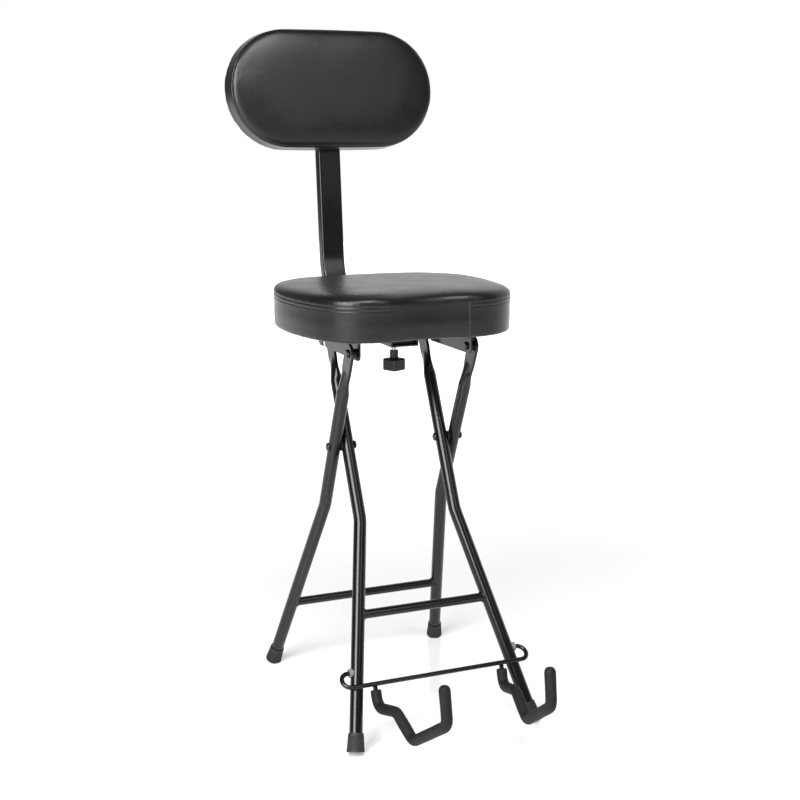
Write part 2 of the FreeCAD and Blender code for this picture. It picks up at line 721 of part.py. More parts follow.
def make_pins():
    """Leg pivots, seat pivots and the pins that the seat drops onto."""
    half_blade = "dims.blade_thickness / 2"
    half_ear = "dims.bracket_thickness / 2"
    leg_rivet = headed_pin(
        "leg_pivot_rivet",
        "(dims.inner_x - dims.tube_radius - dims.side_clearance)",
        "(%s + dims.tube_radius)" % OUTER_X,
    )
    keep(both_sides("LegRivets", leg_rivet, 0, dim("pivot_height")), "leg_pivot_rivets")
    gap_share = "dims.frame_gap * %s" % WASHER_SHARE
    leg_washer = ring_spacer(
        "leg_pivot_washer",
        "(%s - %s)" % (EAR_X, gap_share),
        "(%s + %s)" % (EAR_X, gap_share),
        "dims.washer_radius",
    )
    keep(both_sides("LegWashers", leg_washer, 0, dim("pivot_height")), "leg_pivot_washers")
    seat_pin = headed_pin(
        "seat_pivot_pin",
        "(%s - %s - dims.side_clearance)" % (EAR_X, half_ear),
        "(%s + %s)" % (OUTER_X, half_blade),
    )
    seat_pin_place = (value(SEAT_PIN_Y), value(SEAT_PIN_Z))
    keep(both_sides("SeatPins", seat_pin, *seat_pin_place), "seat_pivot_pins")
    spacer = ring_spacer(
        "seat_pivot_spacer",
        "(%s + %s + dims.side_clearance)" % (EAR_X, half_ear),
        "(%s - %s)" % (OUTER_X, half_blade),
        "dims.spacer_radius",
    )
    keep(both_sides("SeatSpacers", spacer, *seat_pin_place), "seat_pivot_spacers")
    catch = headed_pin(
        "catch_pin",
        "(dims.inner_x - %s)" % half_blade,
        "(%s + %s + dims.side_clearance)" % (EAR_X, half_ear),
    )
    keep(both_sides("CatchPins", catch, value(CATCH_PIN_Y), value(CATCH_PIN_Z)), "catch_pins")


# Screws


def headed_screw(name, radius, reach, head_radius, head_height, head_round):
    """A rounded-head screw along X: its shank runs to +X from under the head at x = 0."""
    body = new_body(name)
    corners = [
        ("-(%s)" % head_height, "0"),
        ("-(%s)" % head_height, head_radius),
        ("0", head_radius),
        ("0", radius),
        (reach, radius),
        (reach, "0"),
    ]
    revolution = turn(body, corners)

    def outer_head(edge):
        on_end = abs(edge.BoundBox.Center.x + value(head_height)) < TOLERANCE
        return on_end and is_circle(edge, value(head_radius))

    fillet(body, revolution, head_round, outer_head)
    return body


def upward(offset):
    """Places a screw so that it is driven up."""
    return at_pivot(offset, Y_AXIS, -QUARTER_TURN)


def bracket_screw_places(side):
    """Where one bracket's screws go, from the leg pivot."""
    x_place = side * value("%s - dims.bracket_flange / 2" % EAR_X)
    middle = dim("bracket_screw_y")
    return [(x_place, middle + step * dim("bracket_screw_pitch")) for step in (-1, 0, 1)]


def socket_screw_places():
    """Where the socket's screws go, from the leg pivot."""
    x_place = value("%s + dims.socket_flange / 2" % SOCKET_SIDE)
    rows = [value(row) for row in SOCKET_SCREW_ROWS]
    return [(side * x_place, y_place) for y_place in rows for _, side in SIDES]


def make_screw_set(label, places, sheet_metal):
    """Pan-head screws that hold sheet metal of one thickness under the seat board."""
    screw = headed_screw(
        label + "_one",
        "dims.screw_radius",
        "%s + dims.screw_reach" % sheet_metal,
        "dims.screw_head_radius",
        "dims.screw_head_height",
        "dims.screw_head_round",
    )
    under = dim("seat_height") - value(sheet_metal)
    keep(copies(label + "_set", screw, [upward((x, y, under)) for x, y in places]), label)


# Seat


def make_bracket(side):
    """An angle under the seat: an ear pinned to the rear leg, with a notch for the front leg's pin."""
    body = new_body("seat_bracket")
    ear_x = signed(side, EAR_X)
    front = "(%s - dims.bracket_front_margin)" % SEAT_PIN_Y
    rear = "(%s + dims.bracket_rear_margin)" % CATCH_PIN_Y
    bottom = "(dims.seat_height - dims.bracket_depth)"
    ear = sketch_on(body, "YZ_Plane", ear_x)
    draw_rectangle(ear, front, rear, bottom, "dims.seat_height")
    plate = pad(body, ear, "dims.bracket_thickness", symmetric=True)

    def lower_corner(edge):
        level = abs(edge.BoundBox.Center.z - value(bottom)) < TOLERANCE
        return level and edge.BoundBox.YLength < TOLERANCE

    fillet(body, plate, "dims.bracket_corner", lower_corner)
    flange = sketch_on(body, "XY_Plane", "dims.seat_height")
    inner = signed(side, "(%s - dims.bracket_flange)" % EAR_X)
    outer = signed(side, "(%s + dims.bracket_thickness / 2)" % EAR_X)
    draw_rectangle(flange, inner, outer, front, rear)
    pad(body, flange, "dims.bracket_thickness", reverse=True)
    reach = "%d * dims.bracket_thickness" % CUT_PAST
    hole = sketch_on(body, "YZ_Plane", ear_x)
    draw_circle(hole, SEAT_PIN_Y, SEAT_PIN_Z, BORE)
    draw_circle(hole, CATCH_PIN_Y, CATCH_PIN_Z, "dims.pin_radius + dims.notch_clearance")
    pocket(body, hole, reach, symmetric=True)
    notch = sketch_on(body, "YZ_Plane", ear_x)
    root = "(dims.pin_radius + dims.notch_clearance)"
    mouth = "(%s + dims.notch_flare)" % root

    def notch_corner(away, half_width):
        across = "%s * sin(dims.notch_angle) - %s * cos(dims.notch_angle)" % (half_width, away)
        up = "%s * cos(dims.notch_angle) + %s * sin(dims.notch_angle)" % (half_width, away)
        return "%s + %s" % (CATCH_PIN_Y, across), "%s - (%s)" % (CATCH_PIN_Z, up)

    end = "dims.notch_length"
    places = [("0", "-" + root), ("0", root), (end, mouth), (end, "-" + mouth)]
    draw_polygon(notch, [notch_corner(*place) for place in places])
    pocket(body, notch, reach, symmetric=True)
    screws = sketch_on(body, "XY_Plane", "dims.seat_height")
    screw_x = signed(side, "(%s - dims.bracket_flange / 2)" % EAR_X)
    for step in (-1, 0, 1):
        screw_y = "dims.bracket_screw_y + %d * dims.bracket_screw_pitch" % step
        draw_circle(screws, screw_x, screw_y, SCREW_ROOM)
    pocket(body, screws, reach)
    body.Placement = at_pivot()
    return body


def tangent_arc(centre, radius, first, last, height):
    """An arc about a centre between two directions, at a height."""
    middle = (first + last).normalize()
    points = [centre + direction * radius for direction in (first, middle, last)]
    for point in points:
        point.z = height
    return Part.Arc(*points).toShape()


def seat_outline(inset, height):
    """The seat's plan, drawn in by an inset: lobes, sides, corners, a bowed back and a hollow front."""
    lobe = FreeCAD.Vector(dim("lobe_x"), dim("lobe_y"), 0)
    corner = FreeCAD.Vector(dim("corner_x"), dim("corner_y"), 0)
    to_lobe = dim("side_radius") - dim("lobe_radius")
    to_corner = dim("side_radius") - dim("corner_radius")
    span = corner - lobe
    along = (to_lobe ** 2 - to_corner ** 2 + span.Length ** 2) / (2 * span.Length)
    off = math.sqrt(to_lobe ** 2 - along ** 2)
    ahead = FreeCAD.Vector(span).normalize()
    side = lobe + ahead * along + FreeCAD.Vector(-ahead.y, ahead.x, 0) * off
    back_reach = math.sqrt((dim("back_radius") - dim("corner_radius")) ** 2 - corner.x ** 2)
    back = FreeCAD.Vector(0, corner.y - back_reach, 0)
    front_reach = math.sqrt((dim("front_radius") + dim("lobe_radius")) ** 2 - lobe.x ** 2)
    front = FreeCAD.Vector(0, lobe.y - front_reach, 0)

    def direction(start, end):
        return (end - start).normalize()

    def mirrored(vector):
        return FreeCAD.Vector(-vector.x, vector.y, vector.z)

    to_front = direction(lobe, front)
    lobe_side = direction(side, lobe)
    corner_side = direction(side, corner)
    to_back = direction(back, corner)
    right = [
        (lobe, dim("lobe_radius") - inset, to_front, lobe_side),
        (side, dim("side_radius") - inset, lobe_side, corner_side),
        (corner, dim("corner_radius") - inset, corner_side, to_back),
    ]
    left = [(mirrored(c), radius, mirrored(b), mirrored(a)) for c, radius, a, b in reversed(right)]
    arcs = [(front, dim("front_radius") + inset, mirrored(to_front * -1), to_front * -1)]
    arcs += right
    arcs += [(back, dim("back_radius") - inset, to_back, mirrored(to_back))]
    arcs += left
    return Part.Wire([tangent_arc(*arc, height) for arc in arcs])


def pad_outline(inset, depth):
    """The backrest pad's plan, drawn in by an inset, at a depth ahead of its back: an oblong."""
    radius = dim("pad_half_height") - inset
    straight = dim("pad_half_width") - dim("pad_half_height")
    up = FreeCAD.Vector(0, 1, 0)
    edges = []
    for _, side in reversed(SIDES):
        centre = FreeCAD.Vector(side * straight, 0, 0)
        out = FreeCAD.Vector(side, 0, 0)
        edges.append(tangent_arc(centre, radius, up * -side, out, depth))
        edges.append(tangent_arc(centre, radius, out, up * side, depth))
        start = centre + up * side * radius
        start.z = depth
        end = FreeCAD.Vector(-start.x, start.y, depth)
        edges.append(Part.LineSegment(start, end).toShape())
    return Part.Wire(edges)


def cushion(outline, name):
    """Padding with bowed sides that draw in at both edges, and a crown that goes flat inside."""
    rim = dim(name + "_rim")
    crown = dim(name + "_crown")
    draw_in = dim(name + "_draw_in")
    crown_inset = dim(name + "_crown_inset")
    sections = []
    for step in range(SIDE_STEPS + 1):
        share = step / SIDE_STEPS
        sections.append(outline(draw_in * (1 - math.sin(math.pi * share)), rim * share))
    for step in range(1, CROWN_STEPS + 1):
        angle = math.pi / 2 * step / CROWN_STEPS
        inset = draw_in + (crown_inset - draw_in) * (1 - math.cos(angle))
        sections.append(outline(inset, rim + crown * math.sin(angle)))
    return Part.makeLoft(sections, True, True)


def slab(outline, inset, thickness):
    """A flat board of an outline."""
    return Part.Face(outline(inset, 0)).extrude(Z_AXIS * thickness)


def make_seat():
    """The padded top and the board inside it, flush with its underside."""
    placement = at_pivot((0, 0, dim("seat_height")))
    clearance = dim("soft_clearance")
    inset = dim("seat_board_inset")
    room = slab(seat_outline, inset - clearance, dim("seat_board_thickness") + clearance)
    padding = cushion(seat_outline, "seat")
    keep(solid_feature("SeatPadding", padding.cut(room), placement), "seat_cushion")
    blank = slab(seat_outline, inset, dim("seat_board_thickness"))
    board = solid_feature("SeatBoardBlank", blank, placement)
    places = socket_screw_places()
    for _, side in SIDES:
        places += bracket_screw_places(side)
    holes = []
    for x_place, y_place in places:
        start = at_pivot((x_place, y_place, dim("seat_height")))
        holes.append(cylinder("Pilot", SCREW_ROOM, "dims.screw_reach", start))
    keep(cut("SeatBoard", board, group("Pilots", holes)), "seat_board")


# Backrest post, socket and clamp


def make_socket():
    """A channel under the seat that the post plugs into, with a flange along each side."""
    body = new_body("post_socket")
    inner = "(dims.post_width / 2 + dims.socket_clearance)"
    outer = SOCKET_SIDE
    brim = "(%s + dims.socket_flange)" % outer
    top = "dims.seat_height"
    under = "(dims.seat_height - dims.socket_wall)"
    floor = "(%s + dims.socket_wall)" % SOCKET_BOTTOM
    right = [(inner, floor), (inner, top), (brim, top)]
    right += [(brim, under), (outer, under), (outer, SOCKET_BOTTOM)]
    left = [("-%s" % across, up) for across, up in reversed(right)]
    profile = sketch_on(body, "XZ_Plane", "-dims.socket_rear_y")
    draw_polygon(profile, right + left)
    pad(body, profile, "dims.socket_rear_y - dims.socket_front_y")
    stud = sketch_on(body, "XY_Plane", floor)
    draw_circle(stud, "0", "dims.clamp_y", STUD_ROOM)
    pocket(body, stud, "%d * dims.socket_wall" % CUT_PAST)
    screws = sketch_on(body, "XY_Plane", top)
    middle = "(%s + dims.socket_flange / 2)" % outer
    for row in SOCKET_SCREW_ROWS:
        for _, side in SIDES:
            draw_circle(screws, signed(side, middle), row, SCREW_ROOM)
    pocket(body, screws, "%d * dims.socket_wall" % CUT_PAST)
    body.Placement = at_pivot()
    return body


def rectangle_corners(half_width, half_height, middle="0"):
    """Corners of a rectangle about a point on the sketch's vertical axis."""
    low = "%s - (%s)" % (middle, half_height)
    high = "%s + (%s)" % (middle, half_height)
    wide = "(%s)" % half_width
    return [("-" + wide, low), (wide, low), (wide, high), ("-" + wide, high)]


def post_corners(less="", middle="0"):
    """Corners of the post's section, drawn in on every side by what is taken off."""
    return rectangle_corners("dims.post_width / 2" + less, "dims.post_depth / 2" + less, middle)


def make_post():
    """A flat tube that lies level in its socket, bends behind the seat and leans back as it rises."""
    body = new_body("backrest_post")
    rise = "(%s - %s)" % (POST_TOP, POST_Z)
    route = sketch_on(body, "YZ_Plane")
    corners = [
        (POST_FRONT, POST_Z),
        ("dims.post_corner_y", POST_Z),
        ("dims.post_corner_y + %s * tan(dims.post_recline)" % rise, POST_TOP),
    ]
    draw_route(route, corners, "dims.post_bend_radius")
    outside = sketch_on(body, "XZ_Plane", "-" + POST_FRONT)
    draw_route(outside, post_corners(middle=POST_Z), "dims.post_corner", closed=True)
    pipe(body, outside, route)
    inside = sketch_on(body, "XZ_Plane", "-" + POST_FRONT)
    draw_route(inside, post_corners(" - dims.post_wall", POST_Z), POST_BORE_CORNER, closed=True)
    pipe(body, inside, route, "PartDesign::SubtractivePipe")
    body.Placement = at_pivot()
    return body


def plug(name, placement):
    """A plastic plug in an end of the post: a cap outside and a stem inside, with Y out of the tube."""
    body = new_body(name)
    cap = sketch_on(body, "XZ_Plane")
    draw_route(cap, post_corners(), "dims.post_corner", closed=True)
    pad(body, cap, "dims.plug_cap", reverse=True)
    stem = sketch_on(body, "XZ_Plane")
    inner = post_corners(" - dims.post_wall - dims.plug_clearance")
    draw_route(stem, inner, POST_BORE_CORNER, closed=True)
    pad(body, stem, "dims.plug_reach")
    body.Placement = placement
    return body


def make_clamp():
    """The weld nut under the socket, and the knob whose stud presses the post."""
    nut = new_body("clamp_nut")
    hexagon = sketch_on(nut, "XY_Plane", SOCKET_BOTTOM)
    corners = []
    reach = "(dims.nut_across / 2 / cos(%g))" % (HALF_TURN / NUT_SIDES)
    for step in range(NUT_SIDES):
        turned = step * FULL_TURN / NUT_SIDES
        across = "%s * cos(%g)" % (reach, turned)
        corners.append((across, "dims.clamp_y + %s * sin(%g)" % (reach, turned)))
    draw_polygon(hexagon, corners)
    pad(nut, hexagon, "dims.nut_height", reverse=True)
    thread = sketch_on(nut, "XY_Plane", SOCKET_BOTTOM)
    draw_circle(thread, "0", "dims.clamp_y", STUD_ROOM)
    pocket(nut, thread, "%d * dims.nut_height" % CUT_PAST)
    nut.Placement = at_pivot()
    keep(nut, "clamp_nut")

    knob = new_body("clamp_knob")
    grip = sketch_on(knob, "XY_Plane")
    corners = rectangle_corners("dims.knob_half_side", "dims.knob_half_side")
    draw_route(grip, corners, "dims.knob_corner", closed=True)
    block = pad(knob, grip, "dims.knob_height")

    def rim(edge):
        return edge.BoundBox.ZLength < TOLERANCE

    fillet(knob, block, "dims.knob_round", rim)
    collar = sketch_on(knob, "XY_Plane", "dims.knob_height")
    draw_circle(collar, "0", "0", "dims.knob_collar_radius")
    pad(knob, collar, "dims.knob_collar_height")
    bore = sketch_on(knob, "XY_Plane", "dims.knob_height + dims.knob_collar_height")
    draw_circle(bore, "0", "0", STUD_ROOM)
    pocket(knob, bore, "dims.knob_bore_depth")
    knob.Placement = at_pivot((0, dim("clamp_y"), value(KNOB_BASE)), Z_AXIS, dim("knob_turn"))
    keep(knob, "clamp_knob")

    foot = "(%s - dims.knob_bore_depth)" % KNOB_TOP
    reach = "%s - dims.post_depth / 2 - dims.stud_gap - %s" % (POST_Z, foot)
    place = at_pivot((0, dim("clamp_y"), value(foot)))
    stud = cylinder("Stud", "dims.stud_radius", reach, place)
    keep(stud, "clamp_stud")


def backrest_placement():
    """Middle of the pad's back on the post's front face: Z is up the post and -Y is forward."""
    lean = math.radians(dim("post_recline"))
    rise = value("%s - %s" % (PAD_Z, POST_Z))
    front = dim("post_corner_y") + rise * math.tan(lean) - dim("post_depth") / 2 / math.cos(lean)
    return at_pivot((0, front, value(PAD_Z)), X_AXIS, -dim("post_recline"))


def make_backrest():
    """Post, plugs, board, padding, bolts and the inserts that they screw into."""
    placement = backrest_placement()
    half_spacing = dim("bolt_spacing") / 2

    def at_bolts(offset_y, rotation):
        steps = [FreeCAD.Vector(0, offset_y, step * half_spacing) for step in (-1, 1)]
        return [placement.multiply(FreeCAD.Placement(step, rotation)) for step in steps]

    def bolt_holes(radius, start, length):
        places = at_bolts(start, to_front)
        return group("BoltHoles", [cylinder("BoltHole", radius, length, place) for place in places])

    to_front = FreeCAD.Rotation(X_AXIS, QUARTER_TURN)
    bolt_room = "dims.bolt_radius + dims.running_clearance"
    through = bolt_holes(bolt_room, 2 * dim("post_depth"), "%d * dims.post_depth" % CUT_PAST)
    keep(cut("Post", make_post(), through), "backrest_post")
    front_end = (0, value(POST_FRONT), value(POST_Z))
    keep(plug("post_front_plug", at_pivot(front_end, Z_AXIS, HALF_TURN)), "post_front_plug")
    rise = value("%s - %s" % (POST_TOP, POST_Z))
    top_y = dim("post_corner_y") + rise * math.tan(math.radians(dim("post_recline")))
    top_end = (0, top_y, value(POST_TOP))
    top_place = at_pivot(top_end, X_AXIS, QUARTER_TURN - dim("post_recline"))
    keep(plug("post_top_plug", top_place), "post_top_plug")

    forward = placement.multiply(FreeCAD.Placement(FreeCAD.Vector(), to_front))
    clearance = dim("soft_clearance")
    inset = dim("pad_board_inset")
    thickness = dim("pad_board_thickness")
    room = slab(pad_outline, inset - clearance, thickness + clearance)
    padding = cushion(pad_outline, "pad")
    keep(solid_feature("PadPadding", padding.cut(room), forward), "backrest_cushion")
    blank = solid_feature("PadBoardBlank", slab(pad_outline, inset, thickness), forward)
    insert_room = bolt_holes("dims.insert_radius + dims.weld_gap", 0, "dims.pad_board_thickness")
    keep(cut("PadBoard", blank, insert_room), "backrest_board")

    insert = new_body("backrest_insert")
    corners = [
        ("0", bolt_room),
        ("dims.pad_board_thickness", bolt_room),
        ("dims.pad_board_thickness", "dims.insert_radius"),
        ("0", "dims.insert_radius"),
    ]
    turn(insert, corners)
    bolt = headed_screw(
        "backrest_bolt",
        "dims.bolt_radius",
        "dims.post_depth + dims.bolt_reach",
        "dims.bolt_head_radius",
        "dims.bolt_head_height",
        "dims.bolt_head_round",
    )

    x_to_front = FreeCAD.Rotation(Z_AXIS, -QUARTER_TURN)
    keep(copies("PadInserts", insert, at_bolts(0, x_to_front)), "backrest_inserts")
    bolt_places = at_bolts(dim("post_depth"), x_to_front)
    keep(copies("PadBolts", bolt, bolt_places), "backrest_bolts")


# Guitar hanger


def hanger_placement():
    """The hanger's pivot, with -Z pointing to the rod."""
    return at_pivot((0, value(HANGER_Y), dim("hanger_height")), X_AXIS, -value(ROD_SWING))


def make_hanger_rod():
    """A bent wire: a straight rod in front of the legs whose ends turn back into them."""
    body = new_body("hanger_rod")
    inner = splay_x(FRAMES["front"], "dims.hanger_height")
    wide = "(%s + dims.hanger_overhang)" % inner
    low = "-dims.hanger_loop"
    route = sketch_on(body, "XZ_Plane")
    right = [(wide, low), (wide, "0"), (inner, "0")]
    left = [(signed(-1, across), up) for across, up in reversed(right)]
    draw_route(route, left + right, "(dims.hanger_loop - dims.hanger_flat) / 2")
    ring = sketch_on(body, "YZ_Plane", signed(-1, inner))
    draw_circle(ring, "0", "0", "dims.wire_radius")
    pipe(body, ring, route)
    body.Placement = hanger_placement()
    return body


def make_bush(side):
    """A nylon bush in the outer side of a front leg, its flange shaped to the tube."""
    frame = FRAMES["front"]
    body = new_body("hanger_bush")
    leg_x = splay_x(frame, "dims.hanger_height")
    lean = "asin((%s - %s) / %s)" % (frame["foot_x"], frame["axis_x"], lower_run(frame))
    surface = "(%s + dims.tube_radius / cos(%s))" % (leg_x, lean)
    flange_end = "(%s + dims.bush_flange_radius * tan(%s) + dims.bush_flange)" % (surface, lean)
    start = "(%s - dims.tube_wall - dims.bush_reach)" % surface
    bore = "dims.wire_radius + dims.running_clearance"
    sleeve = new_body("hanger_bush_sleeve")
    offset = (0, value(HANGER_Y), dim("hanger_height"))
    for item, radius in ((body, "dims.bush_flange_radius"), (sleeve, "dims.bush_radius")):
        turn(item, [(start, bore), (flange_end, bore), (flange_end, radius), (start, radius)])
        item.Placement = at_pivot(offset, Z_AXIS, 0 if side > 0 else HALF_TURN)
    fuse = doc.addObject("Part::Fuse", "Bush")
    fuse.Base = cut("BushFlange", body, leg_room("Saddle", frame, side))
    fuse.Tool = sleeve
    return fuse


def hook_placement(side):
    """The hook where it leaves the rod: X is its reach forward and Z is up."""
    swing = math.radians(value(ROD_SWING))
    rod_y = value(HANGER_Y) - dim("hanger_loop") * math.sin(swing)
    rod_z = dim("hanger_height") - dim("hanger_loop") * math.cos(swing)
    hook_x = value("%s - dims.hook_inset" % splay_x(FRAMES["front"], "dims.hanger_height"))
    offset = (side * hook_x, rod_y, rod_z)
    return at_pivot(offset, Z_AXIS, -QUARTER_TURN - side * dim("hook_toe_in"))


def hook_start(share):
    """A point on the hook's first run, a share of the way from under the rod to the heel."""
    drop = "(%s + (dims.heel_drop - %s) * %s)" % (HOOK_TOP, HOOK_TOP, share)
    return "dims.heel_reach * %s" % share, "-" + drop


def hook_route(body, start_share, tip_share):
    """The hook's line from a share of its first run to a share of its last run."""
    tip = []
    for toe, end in (("dims.toe_reach", "dims.tip_reach"), ("dims.toe_rise", "dims.tip_rise")):
        tip.append("%s + (%s - %s) * %s" % (toe, end, toe, tip_share))
    route = sketch_on(body, "XZ_Plane")
    corners = [
        hook_start(start_share),
        ("dims.heel_reach", "-dims.heel_drop"),
        ("dims.step_reach", "-dims.step_drop"),
        ("dims.bottom_reach", "-dims.bottom_drop"),
        ("dims.toe_reach", "dims.toe_rise"),
        tuple(tip),
    ]
    draw_route(route, corners, "dims.hook_bend")
    return route


def hook_pipe(body, start_share, tip_share, radius, kind="PartDesign::AdditivePipe"):
    """A round bar along the hook's line, its section square to the first run."""
    route = hook_route(body, start_share, tip_share)
    across, up = hook_start(start_share)
    lean = "atan(dims.heel_reach / (dims.heel_drop - %s))" % HOOK_TOP
    ring = sketch_on(body, "XY_Plane", up)
    ring.AttachmentOffset = FreeCAD.Placement(FreeCAD.Vector(), FreeCAD.Rotation(Y_AXIS, -value(lean)))
    ring.setExpression("AttachmentOffset.Base.x", across)
    ring.setExpression("AttachmentOffset.Rotation.Angle", "-%s" % lean)
    draw_circle(ring, "0", "0", radius)
    return pipe(body, ring, route, kind)


def make_hook(side):
    """A bent wire welded under the rod, and the foam sleeve that covers it."""
    covered = "(1 - dims.tip_cover / %s)" % LAST_RUN
    bare = "((dims.sleeve_top - %s) / (dims.heel_drop - %s))" % (HOOK_TOP, HOOK_TOP)
    wire = new_body("hook_wire")
    hook_pipe(wire, "0", covered, "dims.wire_radius")
    wire.Placement = hook_placement(side)
    sleeve = new_body("hook_sleeve")
    foam = hook_pipe(sleeve, bare, "1", "dims.sleeve_radius")
    tip_z = dim("tip_rise")

    def at_tip(edge):
        return is_circle(edge, dim("sleeve_radius")) and abs(edge.Curve.Center.z - tip_z) < TOLERANCE

    fillet(sleeve, foam, "dims.sleeve_radius - dims.tip_flat", at_tip)
    hollow = "dims.wire_radius + dims.running_clearance"
    hook_pipe(sleeve, bare, covered, hollow, "PartDesign::SubtractivePipe")
    sleeve.Placement = hook_placement(side)
    return wire, sleeve


# The whole stool

ground = make_floor()
for frame_name in FRAMES:
    for side_name, side_sign in SIDES:
        keep(make_leg(frame_name, side_sign), "%s_leg_%s" % (frame_name, side_name))
        keep(make_foot(frame_name, side_sign, ground), "%s_foot_%s" % (frame_name, side_name))
    keep(make_rung(frame_name), "%s_rung" % frame_name)
make_pins()
make_seat()
for side_name, side_sign in SIDES:
    keep(make_bracket(side_sign), "seat_bracket_%s" % side_name)
under_brackets = [place for _, side_sign in SIDES for place in bracket_screw_places(side_sign)]
make_screw_set("bracket_screws", under_brackets, "dims.bracket_thickness")
keep(make_socket(), "post_socket")
make_screw_set("socket_screws", socket_screw_places(), "dims.socket_wall")
make_clamp()
make_backrest()
keep(make_hanger_rod(), "hanger_rod")
for side_name, side_sign in SIDES:
    keep(make_bush(side_sign), "hanger_bush_%s" % side_name)
    hook_wire, hook_sleeve = make_hook(side_sign)
    keep(hook_wire, "hook_wire_%s" % side_name)
    keep(hook_sleeve, "hook_sleeve_%s" % side_name)
doc.recompute()

# Nothing is written unless every object was built and every sub-part is sound

for item in doc.Objects:
    if "Invalid" in item.State or "Error" in item.State:
        raise RuntimeError("%s (%s) was not built: %s" % (item.Name, item.Label, item.State))
for item in nodes:
    if item.Shape.isNull() or not item.Shape.isValid() or not item.Shape.Solids:
        raise RuntimeError("%s has no sound solid" % item.Label)

os.makedirs("parts", exist_ok=True)
for item in nodes:
    item.Shape.exportStep("parts/%s.step" % item.Label)
whole = Part.makeCompound([item.Shape for item in nodes]).BoundBox
print("%d sub-parts, x %.1f to %.1f" % (len(nodes), whole.XMin, whole.XMax))
print("y %.2f to %.2f, z %.2f to %.2f" % (whole.YMin, whole.YMax, whole.ZMin, whole.ZMax))
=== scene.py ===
import json
import math

import bmesh
import bpy
import numpy
from mathutils import Euler, Matrix, Vector


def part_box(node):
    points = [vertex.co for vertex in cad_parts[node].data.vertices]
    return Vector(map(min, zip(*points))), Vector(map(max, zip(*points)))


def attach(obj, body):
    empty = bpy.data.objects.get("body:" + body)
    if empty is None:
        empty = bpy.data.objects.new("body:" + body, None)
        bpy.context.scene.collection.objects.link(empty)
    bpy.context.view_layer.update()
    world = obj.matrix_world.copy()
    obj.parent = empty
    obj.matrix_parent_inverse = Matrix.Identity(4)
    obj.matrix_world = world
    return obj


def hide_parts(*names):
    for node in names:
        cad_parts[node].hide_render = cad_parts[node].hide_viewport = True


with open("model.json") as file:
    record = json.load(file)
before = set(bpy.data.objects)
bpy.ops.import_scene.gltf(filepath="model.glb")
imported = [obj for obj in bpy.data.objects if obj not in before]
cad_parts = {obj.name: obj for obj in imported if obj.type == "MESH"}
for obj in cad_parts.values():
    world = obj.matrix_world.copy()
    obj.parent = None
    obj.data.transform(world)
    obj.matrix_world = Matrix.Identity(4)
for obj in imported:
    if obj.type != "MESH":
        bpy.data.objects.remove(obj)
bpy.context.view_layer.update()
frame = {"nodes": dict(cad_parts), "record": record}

# Folding guitar stool: leatherette covers, foam hook sleeves, weld beads, dust cloths, staples and
# stitches are modelled here around the frame's own tubes, brackets, pins and screws.
# Lengths are in metres, in the frame's axes: +Z is up and the sitter faces -Y.

MM = 0.001
SIDES = (("left", -1), ("right", 1))
ACROSS = Vector((1, 0, 0))
WORLD_UP = Vector((0, 0, 1))

# Covers
VOXEL = 4.5 * MM
AIR_PRESSURE = 4.0
SWELL_FRAMES = 20
TAKEN_IN = 2 * MM
GIVE = 3 * MM
TAUT_ROUNDS = 60
HELD_HEIGHT = 3 * MM
SLACK_HEIGHT = 14 * MM
EDGE_POWER = 3
SMOOTHING = 3
WELD_DISTANCE = 0.01 * MM
TOUCHING = 0.05 * MM
HOLLOW_MARGINS = (0.2 * MM, 1.0 * MM)
FACING = 0.9

# Seat seams: a felled seam below the rim, and two upright seams beside the front panel
SEAT_CROWN = 12 * MM
SEAT_LET_OUT = (1.8 * MM, 8.1 * MM)
FELL_ROWS = (6 * MM, 12 * MM)
FELL_LIFT = 0.25 * MM
PANEL_HALF = 62 * MM
PANEL_BACK = -0.05
PANEL_LIFT = 1.1 * MM
PANEL_FADE = 12 * MM
GROOVE_HALF = 1.8 * MM
GROOVE_REACH = 3 * GROOVE_HALF
GROOVE_DEPTH = 0.5 * MM

# Backrest seam: around the front panel's edge, with a soft roll inside it
PAD_RECLINE = math.radians(5.2)
PAD_RIM = 36 * MM
PAD_CROWN = 9 * MM
PAD_LET_OUT = (4 * MM, 5 * MM)
PAD_ROLL = 4.5 * MM
PAD_ROLL_LIFT = 0.4 * MM
PAD_GROOVE_DEPTH = 1.2 * MM

# Stitches, staples and weld beads
STITCH_PITCH = 4.4 * MM
STITCH_LENGTH = 3.3 * MM
STITCH_RADIUS = 0.35 * MM
STITCH_SIDES = 8
STAPLE_PITCH = 42 * MM
STAPLE_SIZE = (10 * MM, 1.2 * MM, 0.7 * MM)
STAPLE_MARGIN = 6 * MM
CLOTH_THICKNESS = 0.5 * MM
CLOTH_EDGE_STEP = 6 * MM
BEAD_RADIUS = 1.7 * MM
BEAD_STEP = 1.2 * MM
BEAD_RIPPLE = 0.25 * MM
BEAD_RIPPLE_LENGTH = 2.6 * MM
BEAD_ROUNDING = 3

# Hook foam
FOAM_VOXEL = 2.2 * MM
FOAM_SMOOTHING = 4
FOAM_LUMP = 0.2 * MM
FOAM_LUMP_LENGTH = 64 * MM


# Selecting, copying and reshaping


def pick(piece):
    """Make one piece the only one selected, and the active one."""
    bpy.ops.object.select_all(action="DESELECT")
    piece.select_set(True)
    bpy.context.view_layer.objects.active = piece


def select_faces(piece, wanted):
    """In edit mode, select the faces whose middle and normal pass a test."""
    bpy.ops.mesh.select_mode(type="FACE")
    bpy.ops.mesh.select_all(action="DESELECT")
    mesh = bmesh.from_edit_mesh(piece.data)
    for face in mesh.faces:
        face.select_set(wanted(face.calc_center_median(), face.normal))
    bmesh.update_edit_mesh(piece.data)


